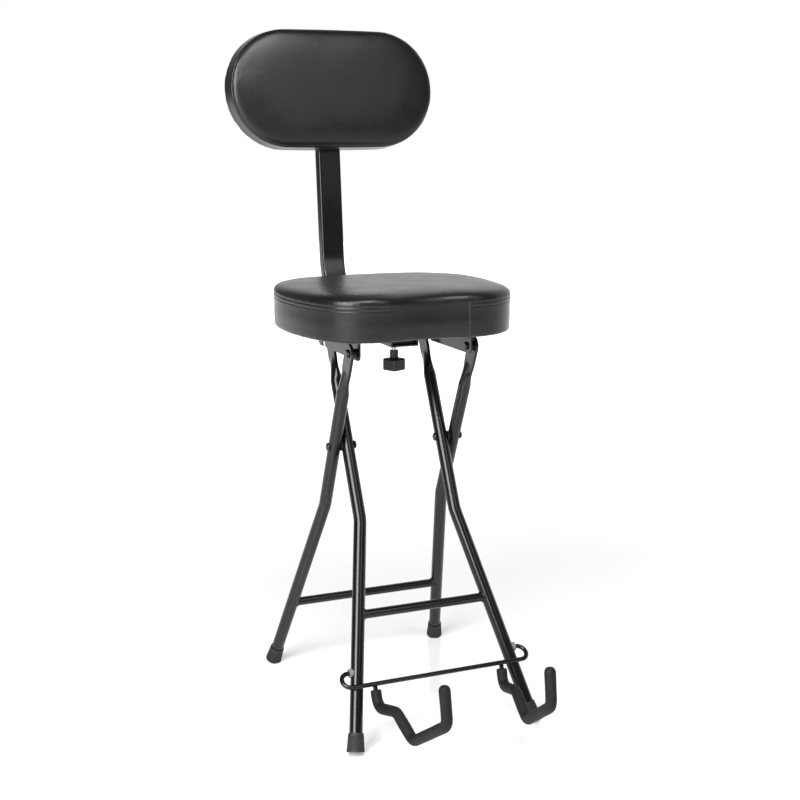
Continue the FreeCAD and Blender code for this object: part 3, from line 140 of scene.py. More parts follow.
def cad_copy(name, source):
    """A new object with a welded copy of a CAD node's mesh."""
    piece = bpy.data.objects.new(name, frame["nodes"][source].data.copy())
    bpy.context.scene.collection.objects.link(piece)
    piece.data.materials.clear()
    pick(piece)
    bpy.ops.object.mode_set(mode="EDIT")
    bpy.ops.mesh.select_all(action="SELECT")
    bpy.ops.mesh.remove_doubles(threshold=WELD_DISTANCE)
    bpy.ops.object.mode_set(mode="OBJECT")
    return piece


def heights(piece, up):
    """Lowest and highest reach of a piece along a direction."""
    reach = [vertex.co.dot(up) for vertex in piece.data.vertices]
    return min(reach), max(reach)


def remesh(piece, voxel):
    """Give a piece an even skin of small quads."""
    pick(piece)
    piece.data.remesh_voxel_size = voxel
    bpy.ops.object.voxel_remesh()


def smooth(piece, repeat):
    """Relax all the points of a piece."""
    pick(piece)
    bpy.ops.object.mode_set(mode="EDIT")
    bpy.ops.mesh.select_mode(type="VERT")
    bpy.ops.mesh.select_all(action="SELECT")
    bpy.ops.mesh.vertices_smooth(factor=0.5, repeat=repeat)
    bpy.ops.object.mode_set(mode="OBJECT")


def subdivide(piece):
    """One level of subdivision surface, applied, with smooth shading."""
    pick(piece)
    bpy.ops.object.modifier_add(type="SUBSURF")
    rounding = piece.modifiers[-1]
    rounding.levels = rounding.render_levels = 1
    bpy.ops.object.modifier_apply(modifier=rounding.name)
    bpy.ops.object.shade_smooth()


def shift(piece, move_at):
    """Move each point by what a function of its place and its normal gives."""
    moves = [move_at(vertex.co, vertex.normal) for vertex in piece.data.vertices]
    for vertex, move in zip(piece.data.vertices, moves):
        vertex.co += move
    piece.data.update()


def press(piece, depth_at):
    """Move each point along its own normal, by what a function of its place gives."""
    shift(piece, lambda place, normal: normal * depth_at(place))


def score(piece, normal, heights_wanted, wanted):
    """Cut level lines into the faces that pass a test, so that a narrow seam has its own edges."""
    pick(piece)
    bpy.ops.object.mode_set(mode="EDIT")
    for height in heights_wanted:
        select_faces(piece, wanted)
        bpy.ops.mesh.bisect(plane_co=normal * height, plane_no=normal)
    bpy.ops.object.mode_set(mode="OBJECT")


def groove_lines(height):
    """Heights of the lines that a groove needs."""
    return [height + step * GROOVE_HALF / 2 for step in (-2, -1, 0, 1, 2)]


def bell(distance, half_width):
    """1 in the middle of a band and 0 outside it, with a smooth slope."""
    share = distance / half_width
    return (1 - share * share) ** 2 if abs(share) < 1 else 0.0


# Lines around a piece, and copies along them


def ring_at(piece, normal, height):
    """The longest closed line where a plane cuts a piece, as points with the surface's normals."""
    mesh = bmesh.new()
    mesh.from_mesh(piece.data)
    geometry = mesh.verts[:] + mesh.edges[:] + mesh.faces[:]
    cut = bmesh.ops.bisect_plane(mesh, geom=geometry, plane_co=normal * height, plane_no=normal)
    mesh.normal_update()
    links = {}
    for edge in cut["geom_cut"]:
        if isinstance(edge, bmesh.types.BMEdge):
            for one, other in (edge.verts, reversed(edge.verts)):
                links.setdefault(one, []).append(other)
    rings = []
    while links:
        vertex = next(iter(links))
        ring = []
        while vertex in links:
            ring.append((vertex.co.copy(), vertex.normal.copy()))
            following = [other for other in links.pop(vertex) if other in links]
            vertex = following[0] if following else None
        rings.append(ring)
    mesh.free()
    return max(rings, key=len)


def along(ring, pitch):
    """Even places along a closed line: point, direction and normal."""
    places = []
    total = sum((a[0] - b[0]).length for a, b in zip(ring, ring[1:] + ring[:1]))
    step = total / max(3, round(total / pitch))
    ahead = 0.0
    for (start, normal), (end, _) in zip(ring, ring[1:] + ring[:1]):
        span = (end - start).length
        while ahead < span:
            direction = (end - start) / span
            places.append((start + direction * ahead, direction, normal))
            ahead += step
        ahead -= span
    return places


def seated(point, direction, normal, lift=0.0):
    """The matrix that lays X along a direction and Z along a normal."""
    flat = (direction - normal * direction.dot(normal)).normalized()
    side = normal.cross(flat)
    turn = Matrix((flat, side, normal)).transposed().to_4x4()
    return Matrix.Translation(point + normal * lift) @ turn


def spread(name, unit, places):
    """One piece made of copies of a small modelled unit, one at each place."""
    mesh = bmesh.new()
    for place in places:
        start = len(mesh.verts)
        mesh.from_mesh(unit.data)
        mesh.verts.ensure_lookup_table()
        bmesh.ops.transform(mesh, matrix=place, verts=mesh.verts[start:])
    piece = bpy.data.objects.new(name, bpy.data.meshes.new(name))
    mesh.to_mesh(piece.data)
    mesh.free()
    bpy.context.scene.collection.objects.link(piece)
    bpy.data.objects.remove(unit)
    return piece


# Padded covers


def fill_board_space(cover, board, up):
    """Take out the hollow that holds a board, so that the cover closes over it."""
    low, high = heights(frame["nodes"][board], up)
    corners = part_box(board)
    middle = (corners[0] + corners[1]) / 2
    above_base, above_board = HOLLOW_MARGINS

    def in_hollow(centre, normal):
        height = centre.dot(up)
        across = centre - middle
        across -= up * across.dot(up)
        inward = normal.dot(across) < 0 or normal.dot(up) < -FACING
        return inward and low + above_base < height < high + above_board

    pick(cover)
    bpy.ops.object.mode_set(mode="EDIT")
    select_faces(cover, in_hollow)
    bpy.ops.mesh.delete(type="FACE")
    bpy.ops.mesh.select_mode(type="EDGE")
    bpy.ops.mesh.select_all(action="DESELECT")
    bpy.ops.mesh.select_non_manifold()
    bpy.ops.mesh.edge_face_add()
    bpy.ops.object.mode_set(mode="OBJECT")
    return low


def evened(piece, moves):
    """Share each point's move with its neighbours, as a taut cover has no small wrinkles."""
    moves = numpy.array(moves)
    ends = numpy.array([edge.vertices[:] for edge in piece.data.edges])
    both = numpy.concatenate((ends, ends[:, ::-1]))
    count = numpy.bincount(both[:, 0], minlength=len(moves))[:, None]
    for _ in range(TAUT_ROUNDS):
        total = numpy.zeros_like(moves)
        numpy.add.at(total, both[:, 0], moves[both[:, 1]])
        moves = (moves + total / count) / 2
    return moves


def swell(cover, held):
    """Stuff a closed cover: cloth under air pressure that gives way by no more than a set amount."""
    start = [vertex.co.copy() for vertex in cover.data.vertices]
    group = cover.vertex_groups.new(name="held")
    group.add([vertex.index for vertex in cover.data.vertices if held(vertex.co)], 1.0, "REPLACE")
    pick(cover)
    bpy.ops.object.modifier_add(type="CLOTH")
    cloth = cover.modifiers[-1]
    cloth.settings.vertex_group_mass = group.name
    cloth.settings.use_pressure = True
    cloth.settings.uniform_pressure_force = AIR_PRESSURE
    cloth.settings.effector_weights.gravity = 0
    cloth.point_cache.frame_end = SWELL_FRAMES
    for step in range(1, SWELL_FRAMES + 1):
        bpy.context.scene.frame_set(step)
    bpy.ops.object.modifier_apply(modifier=cloth.name)
    bpy.context.scene.frame_set(1)
    cover.vertex_groups.clear()
    moves = [vertex.co - place for vertex, place in zip(cover.data.vertices, start)]
    moves = [move * min(1.0, GIVE / move.length) if move.length > 0 else move for move in moves]
    for vertex, place, move in zip(cover.data.vertices, start, evened(cover, moves)):
        vertex.co = place + Vector(move)


def in_plan(normal, up):
    """The part of a direction that lies across another, at full length."""
    return (normal - up * normal.dot(up)).normalized()


def square_up(cover, base, crown, let_out, up):
    """Let a cover out at its base and rim, for the upright sides and tight edge of square-cut foam."""
    rim = heights(cover, up)[1] - crown
    base_out, rim_out = let_out

    def move(place, normal):
        height = place.dot(up)
        if height <= rim:
            share = (height - base) / (rim - base)
            out = base_out if share < 0.5 else rim_out
            return in_plan(normal, up) * out * (1 - math.sin(math.pi * share))
        left = max(0.0, 1 - (height - rim) / crown)
        lift = crown * (left - left ** EDGE_POWER)
        return in_plan(normal, up) * rim_out * left + up * lift

    shift(cover, move)


def fill_out(cover, cushion, base, up):
    """Fill a cover to its pattern's width, and keep its underside flat."""
    low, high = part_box(cushion)
    short = (high.x - low.x) / 2 - heights(cover, ACROSS)[1]
    shift(cover, lambda place, normal: (normal - up * normal.dot(up)) * short)
    shift(cover, lambda place, normal: up * max(0.0, base - place.dot(up)))


def stuffed_cover(name, cushion, board, up, crown, let_out):
    """A leatherette cover over foam: taken in, stuffed until it is tight, and flat on its board."""
    cover = cad_copy(name, cushion)
    base = fill_board_space(cover, board, up)
    square_up(cover, base, crown, let_out, up)
    remesh(cover, VOXEL)

    def held(place):
        return place.dot(up) < base + HELD_HEIGHT

    def slack(place):
        return min(1.0, max(0.0, (place.dot(up) - base) / SLACK_HEIGHT))

    press(cover, lambda place: -TAKEN_IN * slack(place))
    swell(cover, held)
    smooth(cover, SMOOTHING)
    subdivide(cover)
    fill_out(cover, cushion, base, up)
    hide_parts(cushion)
    return cover


def on_front_panel(place):
    """True on the panel that runs down the hollow front of the seat."""
    return abs(place.x) < PANEL_HALF and place.y < PANEL_BACK


def sew_seat(cover, rim):
    """Press the felled seam below the rim, and the upright seams beside the front panel."""
    rows = [rim - drop for drop in FELL_ROWS]
    top_row, bottom_row = rows

    def banded(centre, normal):
        return bottom_row - GROOVE_REACH < centre.z < top_row + GROOVE_REACH

    def fronted(centre, normal):
        near = PANEL_HALF - GROOVE_REACH < abs(centre.x) < PANEL_HALF + GROOVE_REACH
        return near and centre.y < PANEL_BACK and centre.z < top_row + GROOVE_HALF

    for row in rows:
        score(cover, WORLD_UP, groove_lines(row), banded)
    for _, side in SIDES:
        score(cover, ACROSS, groove_lines(side * PANEL_HALF), fronted)

    def depth_at(place):
        beyond = abs(place.x) - PANEL_HALF
        on_front = place.y < PANEL_BACK
        depth = 0.0
        if on_front and place.z < top_row:
            depth -= GROOVE_DEPTH * bell(beyond, GROOVE_HALF)
            if 0 <= beyond < PANEL_FADE:
                depth += PANEL_LIFT * (1 - beyond / PANEL_FADE)
        if not on_front_panel(place):
            depth -= GROOVE_DEPTH * max(bell(place.z - row, GROOVE_HALF) for row in rows)
            middle = (top_row + bottom_row) / 2
            depth += FELL_LIFT * bell(place.z - middle, top_row - bottom_row)
        return depth

    press(cover, depth_at)


def sew_backrest(cover, forward, rim):
    """Press the seam around the front panel's edge, with a roll inside it."""
    def edged(centre, normal):
        return abs(centre.dot(forward) - rim) < GROOVE_REACH

    score(cover, forward, groove_lines(rim), edged)

    def depth_at(place):
        ahead = place.dot(forward) - rim
        roll = PAD_ROLL_LIFT * bell(ahead - PAD_ROLL, PAD_ROLL)
        return roll - PAD_GROOVE_DEPTH * bell(ahead, GROOVE_HALF)

    press(cover, depth_at)


def stitch():
    """One stitch of thick thread, rounded at both ends."""
    bpy.ops.object.select_all(action="DESELECT")
    bpy.ops.mesh.primitive_cylinder_add(
        vertices=STITCH_SIDES, radius=STITCH_RADIUS, depth=STITCH_LENGTH, rotation=(0, math.pi / 2, 0)
    )
    unit = bpy.context.active_object
    bpy.ops.object.transform_apply(location=True, rotation=True, scale=True)
    bpy.ops.object.mode_set(mode="EDIT")
    select_faces(unit, lambda centre, normal: abs(normal.x) > FACING)
    bpy.ops.mesh.inset(thickness=STITCH_RADIUS / 2, depth=STITCH_RADIUS / 2)
    bpy.ops.object.mode_set(mode="OBJECT")
    bpy.ops.object.shade_smooth()
    return unit


def seat_stitches(cover, rim):
    """Two rows of stitches along the felled seam."""
    places = []
    for drop in FELL_ROWS:
        ring = ring_at(cover, WORLD_UP, rim - drop + TOUCHING)
        for point, direction, normal in along(ring, STITCH_PITCH):
            if not on_front_panel(point):
                places.append(seated(point, direction, normal, STITCH_RADIUS / 2))
    return spread("seat_stitches", stitch(), places)


# Dust cloths and their staples


def dust_cloth(name, board, up):
    """A thin black cloth stapled over the open side of a board."""
    blank = cad_copy(name + "_blank", board)
    low, high = heights(blank, up)
    ring = ring_at(blank, up, (low + high) / 2)
    bpy.data.objects.remove(blank)
    places = along(ring, CLOTH_EDGE_STEP)
    down = up * (low - (low + high) / 2)
    bpy.ops.object.select_all(action="DESELECT")
    bpy.ops.mesh.primitive_circle_add(vertices=len(places), radius=1)
    cloth = bpy.context.active_object
    cloth.name = name
    for vertex, (point, _, _) in zip(cloth.data.vertices, places):
        vertex.co = point + down
    bpy.ops.object.mode_set(mode="EDIT")
    bpy.ops.mesh.select_all(action="SELECT")
    bpy.ops.mesh.remove_doubles(threshold=WELD_DISTANCE)
    bpy.ops.mesh.edge_face_add()
    bpy.ops.mesh.inset(thickness=STAPLE_MARGIN / 2)
    bpy.ops.object.mode_set(mode="OBJECT")
    face_down = cloth.data.polygons[0].normal.dot(up) < 0
    bpy.ops.object.modifier_add(type="SOLIDIFY")
    thick = cloth.modifiers[-1]
    thick.thickness = CLOTH_THICKNESS
    thick.offset = 1.0 if face_down else -1.0
    bpy.ops.object.modifier_apply(modifier=thick.name)
    return cloth, [(point + down, direction, normal) for point, direction, normal in places]


def staple():
    """The crown of one staple, with softened edges."""
    bpy.ops.object.select_all(action="DESELECT")
    bpy.ops.mesh.primitive_cube_add(size=1)
    unit = bpy.context.active_object
    unit.scale = STAPLE_SIZE
    bpy.ops.object.transform_apply(location=True, rotation=True, scale=True)
    bpy.ops.object.mode_set(mode="EDIT")
    bpy.ops.mesh.select_all(action="SELECT")
    bpy.ops.mesh.bevel(offset=STAPLE_SIZE[2] / 3, segments=2, affect="EDGES")
    bpy.ops.object.mode_set(mode="OBJECT")
    return unit


def staples(name, edge, up):
    """Staples just inside a cloth's edge."""
    centre = sum((point for point, _, _ in edge), Vector()) / len(edge)
    ring = [(point + (centre - point).normalized() * STAPLE_MARGIN, -up) for point, _, _ in edge]
    places = along(ring, STAPLE_PITCH)
    return spread(name, staple(), [seated(*place, CLOTH_THICKNESS) for place in places])


# Foam sleeves


def foam_sleeve(side):
    """A foam sleeve on a hook, a little uneven along its length."""
    source = "hook_sleeve_" + side
    sleeve = cad_copy("hook_foam_" + side, source)
    remesh(sleeve, FOAM_VOXEL)
    smooth(sleeve, FOAM_SMOOTHING)
    turn = 2 * math.pi / FOAM_LUMP_LENGTH
    press(sleeve, lambda place: FOAM_LUMP * math.sin(place.y * turn) * math.cos(place.z * turn))
    subdivide(sleeve)
    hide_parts(source)
    return sleeve


# Weld beads


def weld_bead(name, points):
    """A rippled bead of weld along a closed line."""
    ring = [(point, WORLD_UP) for point in points]
    places = [place[0] for place in along(ring, BEAD_STEP)]
    bpy.ops.object.select_all(action="DESELECT")
    bpy.ops.mesh.primitive_circle_add(vertices=len(places), radius=1)
    bead = bpy.context.active_object
    bead.name = name
    for vertex, place in zip(bead.data.vertices, places):
        vertex.co = place
    bpy.ops.object.convert(target="CURVE")
    bead.data.bevel_depth = BEAD_RADIUS
    bead.data.bevel_resolution = BEAD_ROUNDING
    bpy.ops.object.convert(target="MESH")
    middle = sum(places, Vector()) / len(places)
    size = sum((place - middle).length for place in places) / len(places)
    count = round(2 * math.pi * size / BEAD_RIPPLE_LENGTH)

    def ripple(place):
        angle = math.atan2(place.z - middle.z, place.y - middle.y)
        return BEAD_RIPPLE * math.sin(count * angle)

    press(bead, ripple)
    bpy.ops.object.shade_smooth()
    return bead


def rung_ends(rung):
    """The two closed lines where a rung's outside meets the legs."""
    low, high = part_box(rung)
    centre = (low + high) / 2
    radius = (high.z - low.z) / 2
    ends = []
    for _, side in SIDES:
        points = {}
        for vertex in frame["nodes"][rung].data.vertices:
            away = Vector((0, vertex.co.y - centre.y, vertex.co.z - centre.z))
            if vertex.co.x * side > 0 and away.length > radius - TOUCHING:
                points[round(math.atan2(away.z, away.y), 3)] = vertex.co.copy()
        ends.append([points[angle] for angle in sorted(points)])
    return ends


# Finishes

# Sockets of the Mix node that share their names, by number
MIX_A, MIX_B, MIX_RESULT = 6, 7, 2
MIX_VALUE_A, MIX_VALUE_B, MIX_VALUE_RESULT = 2, 3, 0


def colour(code):
    """An sRGB hex colour as linear red, green, blue and alpha."""
    shares = [int(code[start:start + 2], 16) / 255 for start in (1, 3, 5)]
    linear = [share / 12.92 if share <= 0.04045 else ((share + 0.055) / 1.055) ** 2.4 for share in shares]
    return (*linear, 1.0)


def add(tree, kind, settings=None, links=None):
    """Add a shader node with its settings, and feed its sockets from other nodes."""
    item = tree.nodes.new("ShaderNode" + kind)
    for name, setting in (settings or {}).items():
        if isinstance(name, int) or name in item.inputs:
            item.inputs[name].default_value = setting
        else:
            setattr(item, name, setting)
    for name, source in (links or {}).items():
        tree.links.new(source, item.inputs[name])
    return item


class Finish:
    """A material being made: its nodes, its shader and the place that its patterns are read at."""

    def __init__(self, name, sockets):
        self.material = bpy.data.materials.new(name)
        self.material.use_nodes = True
        self.tree = self.material.node_tree
        self.shader = self.tree.nodes["Principled BSDF"]
        for socket, setting in sockets.items():
            self.shader.inputs[socket].default_value = setting
        self.place = add(self.tree, "TexCoord").outputs["Object"]

    def uneven(self, patch, colours, roughness):
        """Let colour and gloss drift over patches of a size."""
        drift = add(self.tree, "TexNoise", {"Scale": 1 / patch, "Detail": 4.0}, {"Vector": self.place})
        spread_out = add(
            self.tree, "MapRange", {"From Min": 0.3, "From Max": 0.7}, {"Value": drift.outputs["Fac"]}
        )
        share = spread_out.outputs["Result"]
        tones = {"data_type": "RGBA", MIX_A: colour(colours[0]), MIX_B: colour(colours[1])}
        tone = add(self.tree, "Mix", tones, {"Factor": share})
        self.tree.links.new(tone.outputs[MIX_RESULT], self.shader.inputs["Base Color"])
        limits = {"To Min": roughness[0], "To Max": roughness[1]}
        gloss = add(self.tree, "MapRange", limits, {"Value": share})
        self.tree.links.new(gloss.outputs["Result"], self.shader.inputs["Roughness"])

    def relief(self, height, depth):
        """Raise the surface by a pattern, to a real depth."""
        bump = add(self.tree, "Bump", {"Distance": depth}, {"Height": height})
        self.tree.links.new(bump.outputs["Normal"], self.shader.inputs["Normal"])


def powder_coat():
    """Gloss black powder coat on steel: baked paint with a faint orange peel and sharp highlights."""
    finish = Finish("gloss_black_powder_coat", {"IOR": 1.45})
    finish.uneven(60 * MM, ("#0a0a0b", "#0e0e0f"), (0.17, 0.23))
    # The real peel is about 1 mm across, and is drawn at 3.5 mm so that it shows
    peel = add(finish.tree, "TexNoise", {"Scale": 1 / (3.5 * MM), "Detail": 1.0}, {"Vector": finish.place})
    finish.relief(peel.outputs["Fac"], 0.025 * MM)
    return finish.material


def zinc_steel():
    """Bright zinc plate on turned steel: cool grey, with fine drawn lines."""
    finish = Finish("bright_zinc_plated_steel", {"Metallic": 1.0})
    finish.uneven(4 * MM, ("#a9adb1", "#cfd1d2"), (0.26, 0.4))
    drawn = add(finish.tree, "Mapping", {"Scale": (1.0, 1.0, 6.0)}, {"Vector": finish.place})
    lines = {"Scale": 1 / (1.5 * MM), "Detail": 3.0}
    scratches = add(finish.tree, "TexNoise", lines, {"Vector": drawn.outputs["Vector"]})
    finish.relief(scratches.outputs["Fac"], 0.03 * MM)
    return finish.material


def foot_rubber():
    """Moulded black rubber: dull, slightly dusty, with a fine mould grain."""
    finish = Finish("moulded_black_rubber", {"IOR": 1.52})
    finish.uneven(9 * MM, ("#141414", "#1f1f1f"), (0.55, 0.72))
    grain = add(finish.tree, "TexNoise", {"Scale": 1 / (0.9 * MM), "Detail": 2.0}, {"Vector": finish.place})
    finish.relief(grain.outputs["Fac"], 0.05 * MM)
    return finish.material


def hook_foam():
    """Closed-cell rubber foam: matte black, with tiny cut cells."""
    finish = Finish("matte_black_closed_cell_foam", {"IOR": 1.4})
    finish.uneven(14 * MM, ("#080808", "#0c0c0c"), (0.62, 0.74))
    # The cells are about 0.4 mm across, and are drawn at 1.3 mm so that they show
    cells = add(finish.tree, "TexVoronoi", {"Scale": 1 / (1.3 * MM)}, {"Vector": finish.place})
    finish.relief(cells.outputs["Distance"], 0.06 * MM)
    return finish.material


def leatherette():
    """Satin black leatherette: soft vinyl embossed with a pebble grain, glossier where it is stretched."""
    finish = Finish("satin_black_leatherette", {"IOR": 1.4})
    finish.uneven(45 * MM, ("#0f0f11", "#141416"), (0.26, 0.32))
    # The pebbles are about 1 mm across, and are drawn at 2.2 mm so that they show
    cells = {"feature": "DISTANCE_TO_EDGE", "Scale": 1 / (2.2 * MM)}
    pebbles = add(finish.tree, "TexVoronoi", cells, {"Vector": finish.place})
    rounded = add(
        finish.tree,
        "MapRange",
        {"interpolation_type": "SMOOTHSTEP", "From Max": 0.25},
        {"Value": pebbles.outputs["Distance"]},
    )
    finish.relief(rounded.outputs["Result"], 0.04 * MM)
    return finish.material


def dust_fabric():
    """Non-woven black dust cloth: felted fibres, dull and a little fuzzy."""
    finish = Finish("black_non_woven_dust_cloth", {"IOR": 1.45, "Sheen Weight": 0.3})
    finish.uneven(12 * MM, ("#101010", "#1d1d1d"), (0.85, 0.95))
    fibres = {"Scale": 1 / (1.2 * MM), "Detail": 6.0, "Distortion": 2.5}
    felt = add(finish.tree, "TexNoise", fibres, {"Vector": finish.place})
    finish.relief(felt.outputs["Fac"], 0.25 * MM)
    return finish.material


def thread():
    """Bonded black polyester thread: a smooth twist with a soft shine."""
    finish = Finish("bonded_black_thread", {"IOR": 1.5, "Sheen Weight": 0.2})
    finish.uneven(3 * MM, ("#151517", "#222225"), (0.45, 0.6))
    twist = add(finish.tree, "TexNoise", {"Scale": 1 / (0.5 * MM)}, {"Vector": finish.place})
    finish.relief(twist.outputs["Fac"], 0.08 * MM)
    return finish.material


def plywood():
    """Birch plywood: pale brown, with long grain."""
    finish = Finish("birch_plywood", {"IOR": 1.5})
    finish.uneven(30 * MM, ("#b98f5c", "#d3b081"), (0.55, 0.7))
    grain = add(finish.tree, "Mapping", {"Scale": (1.0, 12.0, 12.0)}, {"Vector": finish.place})
    lines = {"Scale": 1 / (25 * MM), "Detail": 6.0}
    pores = add(finish.tree, "TexNoise", lines, {"Vector": grain.outputs["Vector"]})
    finish.relief(pores.outputs["Fac"], 0.15 * MM)
    return finish.material


def knob_plastic():
    """Moulded black plastic with a spark-eroded satin grain."""
    finish = Finish("moulded_black_plastic", {"IOR": 1.49})
    finish.uneven(11 * MM, ("#0f0f10", "#171718"), (0.4, 0.5))
    grain = add(finish.tree, "TexNoise", {"Scale": 1 / (0.8 * MM), "Detail": 3.0}, {"Vector": finish.place})
    finish.relief(grain.outputs["Fac"], 0.04 * MM)
    return finish.material


def nylon():
    """Grey nylon: slightly waxy, with faint flow marks from the mould."""
    finish = Finish("moulded_grey_nylon", {"IOR": 1.53})
    finish.uneven(6 * MM, ("#6a6a6b", "#78787a"), (0.38, 0.5))
    flow = add(finish.tree, "TexNoise", {"Scale": 1 / (2 * MM)}, {"Vector": finish.place})
    finish.relief(flow.outputs["Fac"], 0.03 * MM)
    return finish.material


finishes = {
    "powder_coat": powder_coat(),
    "zinc_steel": zinc_steel(),
    "foot_rubber": foot_rubber(),
    "foam": hook_foam(),
    "leatherette": leatherette(),
    "plywood": plywood(),
    "black_plastic": knob_plastic(),
    "grey_nylon": nylon(),
}
dust_finish = dust_fabric()
thread_finish = thread()


def dress(piece, finish, body):
    """Give a new piece its finish, and let it ride on a body."""
    piece.data.materials.clear()
    piece.data.materials.append(finish)
    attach(piece, body)


# The frame's own nodes take the finish of their slot

for part in frame["record"]["subparts"]:
    shell = frame["nodes"][part["node"]]
    shell.data.materials.clear()
    shell.data.materials.append(finishes[part["material_slot"]])

# Seat

seat_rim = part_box("seat_cushion")[1].z - SEAT_CROWN
seat_cover = stuffed_cover(
    "seat_cover", "seat_cushion", "seat_board", WORLD_UP, SEAT_CROWN, SEAT_LET_OUT
)
sew_seat(seat_cover, seat_rim)
dress(seat_cover, finishes["leatherette"], "seat")
stitches = seat_stitches(seat_cover, seat_rim)
dress(stitches, thread_finish, "seat")
seat_cloth, seat_edge = dust_cloth("seat_dust_cloth", "seat_board", WORLD_UP)
dress(seat_cloth, dust_finish, "seat")
seat_staples = staples("seat_staples", seat_edge, WORLD_UP)
dress(seat_staples, finishes["zinc_steel"], "seat")

# Backrest

pad_forward = Vector((0, -math.cos(PAD_RECLINE), math.sin(PAD_RECLINE)))
backrest_cover = stuffed_cover(
    "backrest_cover", "backrest_cushion", "backrest_board", pad_forward, PAD_CROWN, PAD_LET_OUT
)
pad_back = heights(frame["nodes"]["backrest_board"], pad_forward)[0]
sew_backrest(backrest_cover, pad_forward, pad_back + PAD_RIM)
dress(backrest_cover, finishes["leatherette"], "backrest")
back_cloth, back_edge = dust_cloth("backrest_dust_cloth", "backrest_board", pad_forward)
dress(back_cloth, dust_finish, "backrest")
back_staples = staples("backrest_staples", back_edge, pad_forward)
dress(back_staples, finishes["zinc_steel"], "backrest")

# Hooks

for side_name, _ in SIDES:
    dress(foam_sleeve(side_name), finishes["foam"], "hanger")

# Welds

for rung_name, rung_body in (("front_rung", "front_leg_frame"), ("rear_rung", "rear_leg_frame")):
    for (side_name, _), rung_end in zip(SIDES, rung_ends(rung_name)):
        weld = weld_bead(f"{rung_name}_weld_{side_name}", rung_end)
        dress(weld, finishes["powder_coat"], rung_body)

# Studio: a white floor, white all round to the eye, and a dim room with a white backdrop to the gloss

WHITE = (1.0, 1.0, 1.0, 1.0)
BACKDROP = Vector((0.78, 0.62, 0.1)).normalized()
BACKDROP_EDGE = (math.radians(68), math.radians(36))
ROOM_GLOW = 0.12
AMBIENT = 0.3
FLOOR_RADIUS = 9
FLOOR_PATCH = 0.8
FLOOR_GLOW = 0.14
FLOOR_FADE = (0.3, 3.0)


def white_floor():
    """A large pale floor with a faint polish, which keeps the stool's shadow."""
    bpy.ops.object.select_all(action="DESELECT")
    bpy.ops.mesh.primitive_circle_add(vertices=96, radius=FLOOR_RADIUS, fill_type="NGON")
    floor = bpy.context.active_object
    floor.name = "floor"
    finish = Finish("polished_white_floor", {"IOR": 1.75, "Emission Color": WHITE})
    finish.uneven(FLOOR_PATCH, ("#efefef", "#f4f4f4"), (0.13, 0.17))
    sight = add(finish.tree, "LightPath").outputs
    seen = add(
        finish.tree,
        "Math",
        {"operation": "MAXIMUM"},
        {0: sight["Is Camera Ray"], 1: sight["Is Glossy Ray"]},
    )
    also = add(
        finish.tree,
        "Math",
        {"operation": "MAXIMUM"},
        {0: seen.outputs["Value"], 1: sight["Is Transmission Ray"]},
    )
    # Away from the stool the floor runs out into the white of the backdrop
    away = add(finish.tree, "VectorMath", {"operation": "LENGTH"}, {0: finish.place})
    reach = {
        "interpolation_type": "SMOOTHSTEP",
        "From Min": FLOOR_FADE[0],
        "From Max": FLOOR_FADE[1],
        "To Min": FLOOR_GLOW,
        "To Max": 1.0,
    }
    fade = add(finish.tree, "MapRange", reach, {"Value": away.outputs["Value"]})
    glow = add(
        finish.tree,
        "Math",
        {"operation": "MULTIPLY"},
        {0: also.outputs["Value"], 1: fade.outputs["Result"]},
    )
    finish.tree.links.new(glow.outputs["Value"], finish.shader.inputs["Emission Strength"])
    floor.data.materials.append(finish.material)


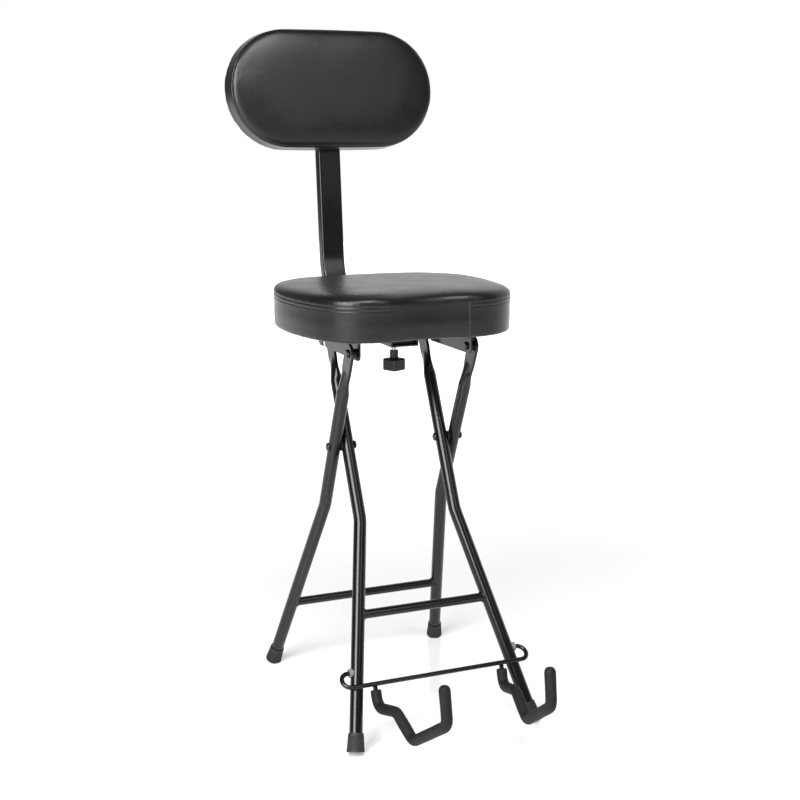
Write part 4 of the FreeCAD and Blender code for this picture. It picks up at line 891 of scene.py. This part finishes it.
def studio_world():
    """White to the camera; to gloss and glass a dim room with a white backdrop; plain light to the rest."""
    world = bpy.data.worlds.new("studio")
    bpy.context.scene.world = world
    world.use_nodes = True
    tree = world.node_tree
    background = tree.nodes["Background"]
    background.inputs["Color"].default_value = WHITE
    sight = add(tree, "LightPath").outputs
    towards = add(tree, "TexCoord").outputs["Generated"]
    facing = add(tree, "VectorMath", {"operation": "DOT_PRODUCT", 1: BACKDROP}, {0: towards})
    edge = {
        "interpolation_type": "SMOOTHSTEP",
        "From Min": math.cos(BACKDROP_EDGE[0]),
        "From Max": math.cos(BACKDROP_EDGE[1]),
        "To Min": ROOM_GLOW,
        "To Max": 1.0,
    }
    room = add(tree, "MapRange", edge, {"Value": facing.outputs["Value"]})
    mirrored = add(
        tree,
        "Math",
        {"operation": "MAXIMUM"},
        {0: sight["Is Glossy Ray"], 1: sight["Is Transmission Ray"]},
    )
    lit = add(
        tree,
        "Mix",
        {MIX_VALUE_A: AMBIENT},
        {"Factor": mirrored.outputs["Value"], MIX_VALUE_B: room.outputs["Result"]},
    )
    shown = add(
        tree,
        "Mix",
        {MIX_VALUE_B: 1.0},
        {"Factor": sight["Is Camera Ray"], MIX_VALUE_A: lit.outputs[MIX_VALUE_RESULT]},
    )
    tree.links.new(shown.outputs[MIX_VALUE_RESULT], background.inputs["Strength"])


def softbox(name, place, aim, size, power):
    """A rectangular soft light that points at a place on the stool."""
    light = bpy.data.lights.new(name, "AREA")
    light.shape = "RECTANGLE"
    light.size, light.size_y = size
    light.energy = power
    lamp = bpy.data.objects.new(name, light)
    lamp.location = place
    lamp.rotation_euler = (Vector(aim) - Vector(place)).to_track_quat("-Z", "Y").to_euler()
    lamp.visible_camera = False
    bpy.context.scene.collection.objects.link(lamp)


def photo_camera():
    """The camera at the photograph's angle."""
    lens = bpy.data.cameras.new("camera")
    lens.lens = 59.94
    lens.sensor_width = 36.0
    camera = bpy.data.objects.new("camera", lens)
    camera.location = (-0.79195, -1.88302, 0.90566)
    camera.rotation_euler = Euler((math.radians(78.51), 0, math.radians(-22.73)))
    bpy.context.scene.collection.objects.link(camera)
    bpy.context.scene.camera = camera


white_floor()
studio_world()
softbox("left_softbox", place=(-2.15, -1.65, 1.75), aim=(0, 0, 0.5), size=(1.7, 2.3), power=150)
softbox("right_softbox", place=(0.75, -2.15, 2.05), aim=(0, 0, 0.8), size=(0.7, 1.4), power=8)
softbox("top_softbox", place=(-0.15, -0.95, 1.85), aim=(0, 0.2, 0.95), size=(0.8, 0.6), power=18)
photo_camera()
bpy.context.scene.view_settings.view_transform = "Standard"
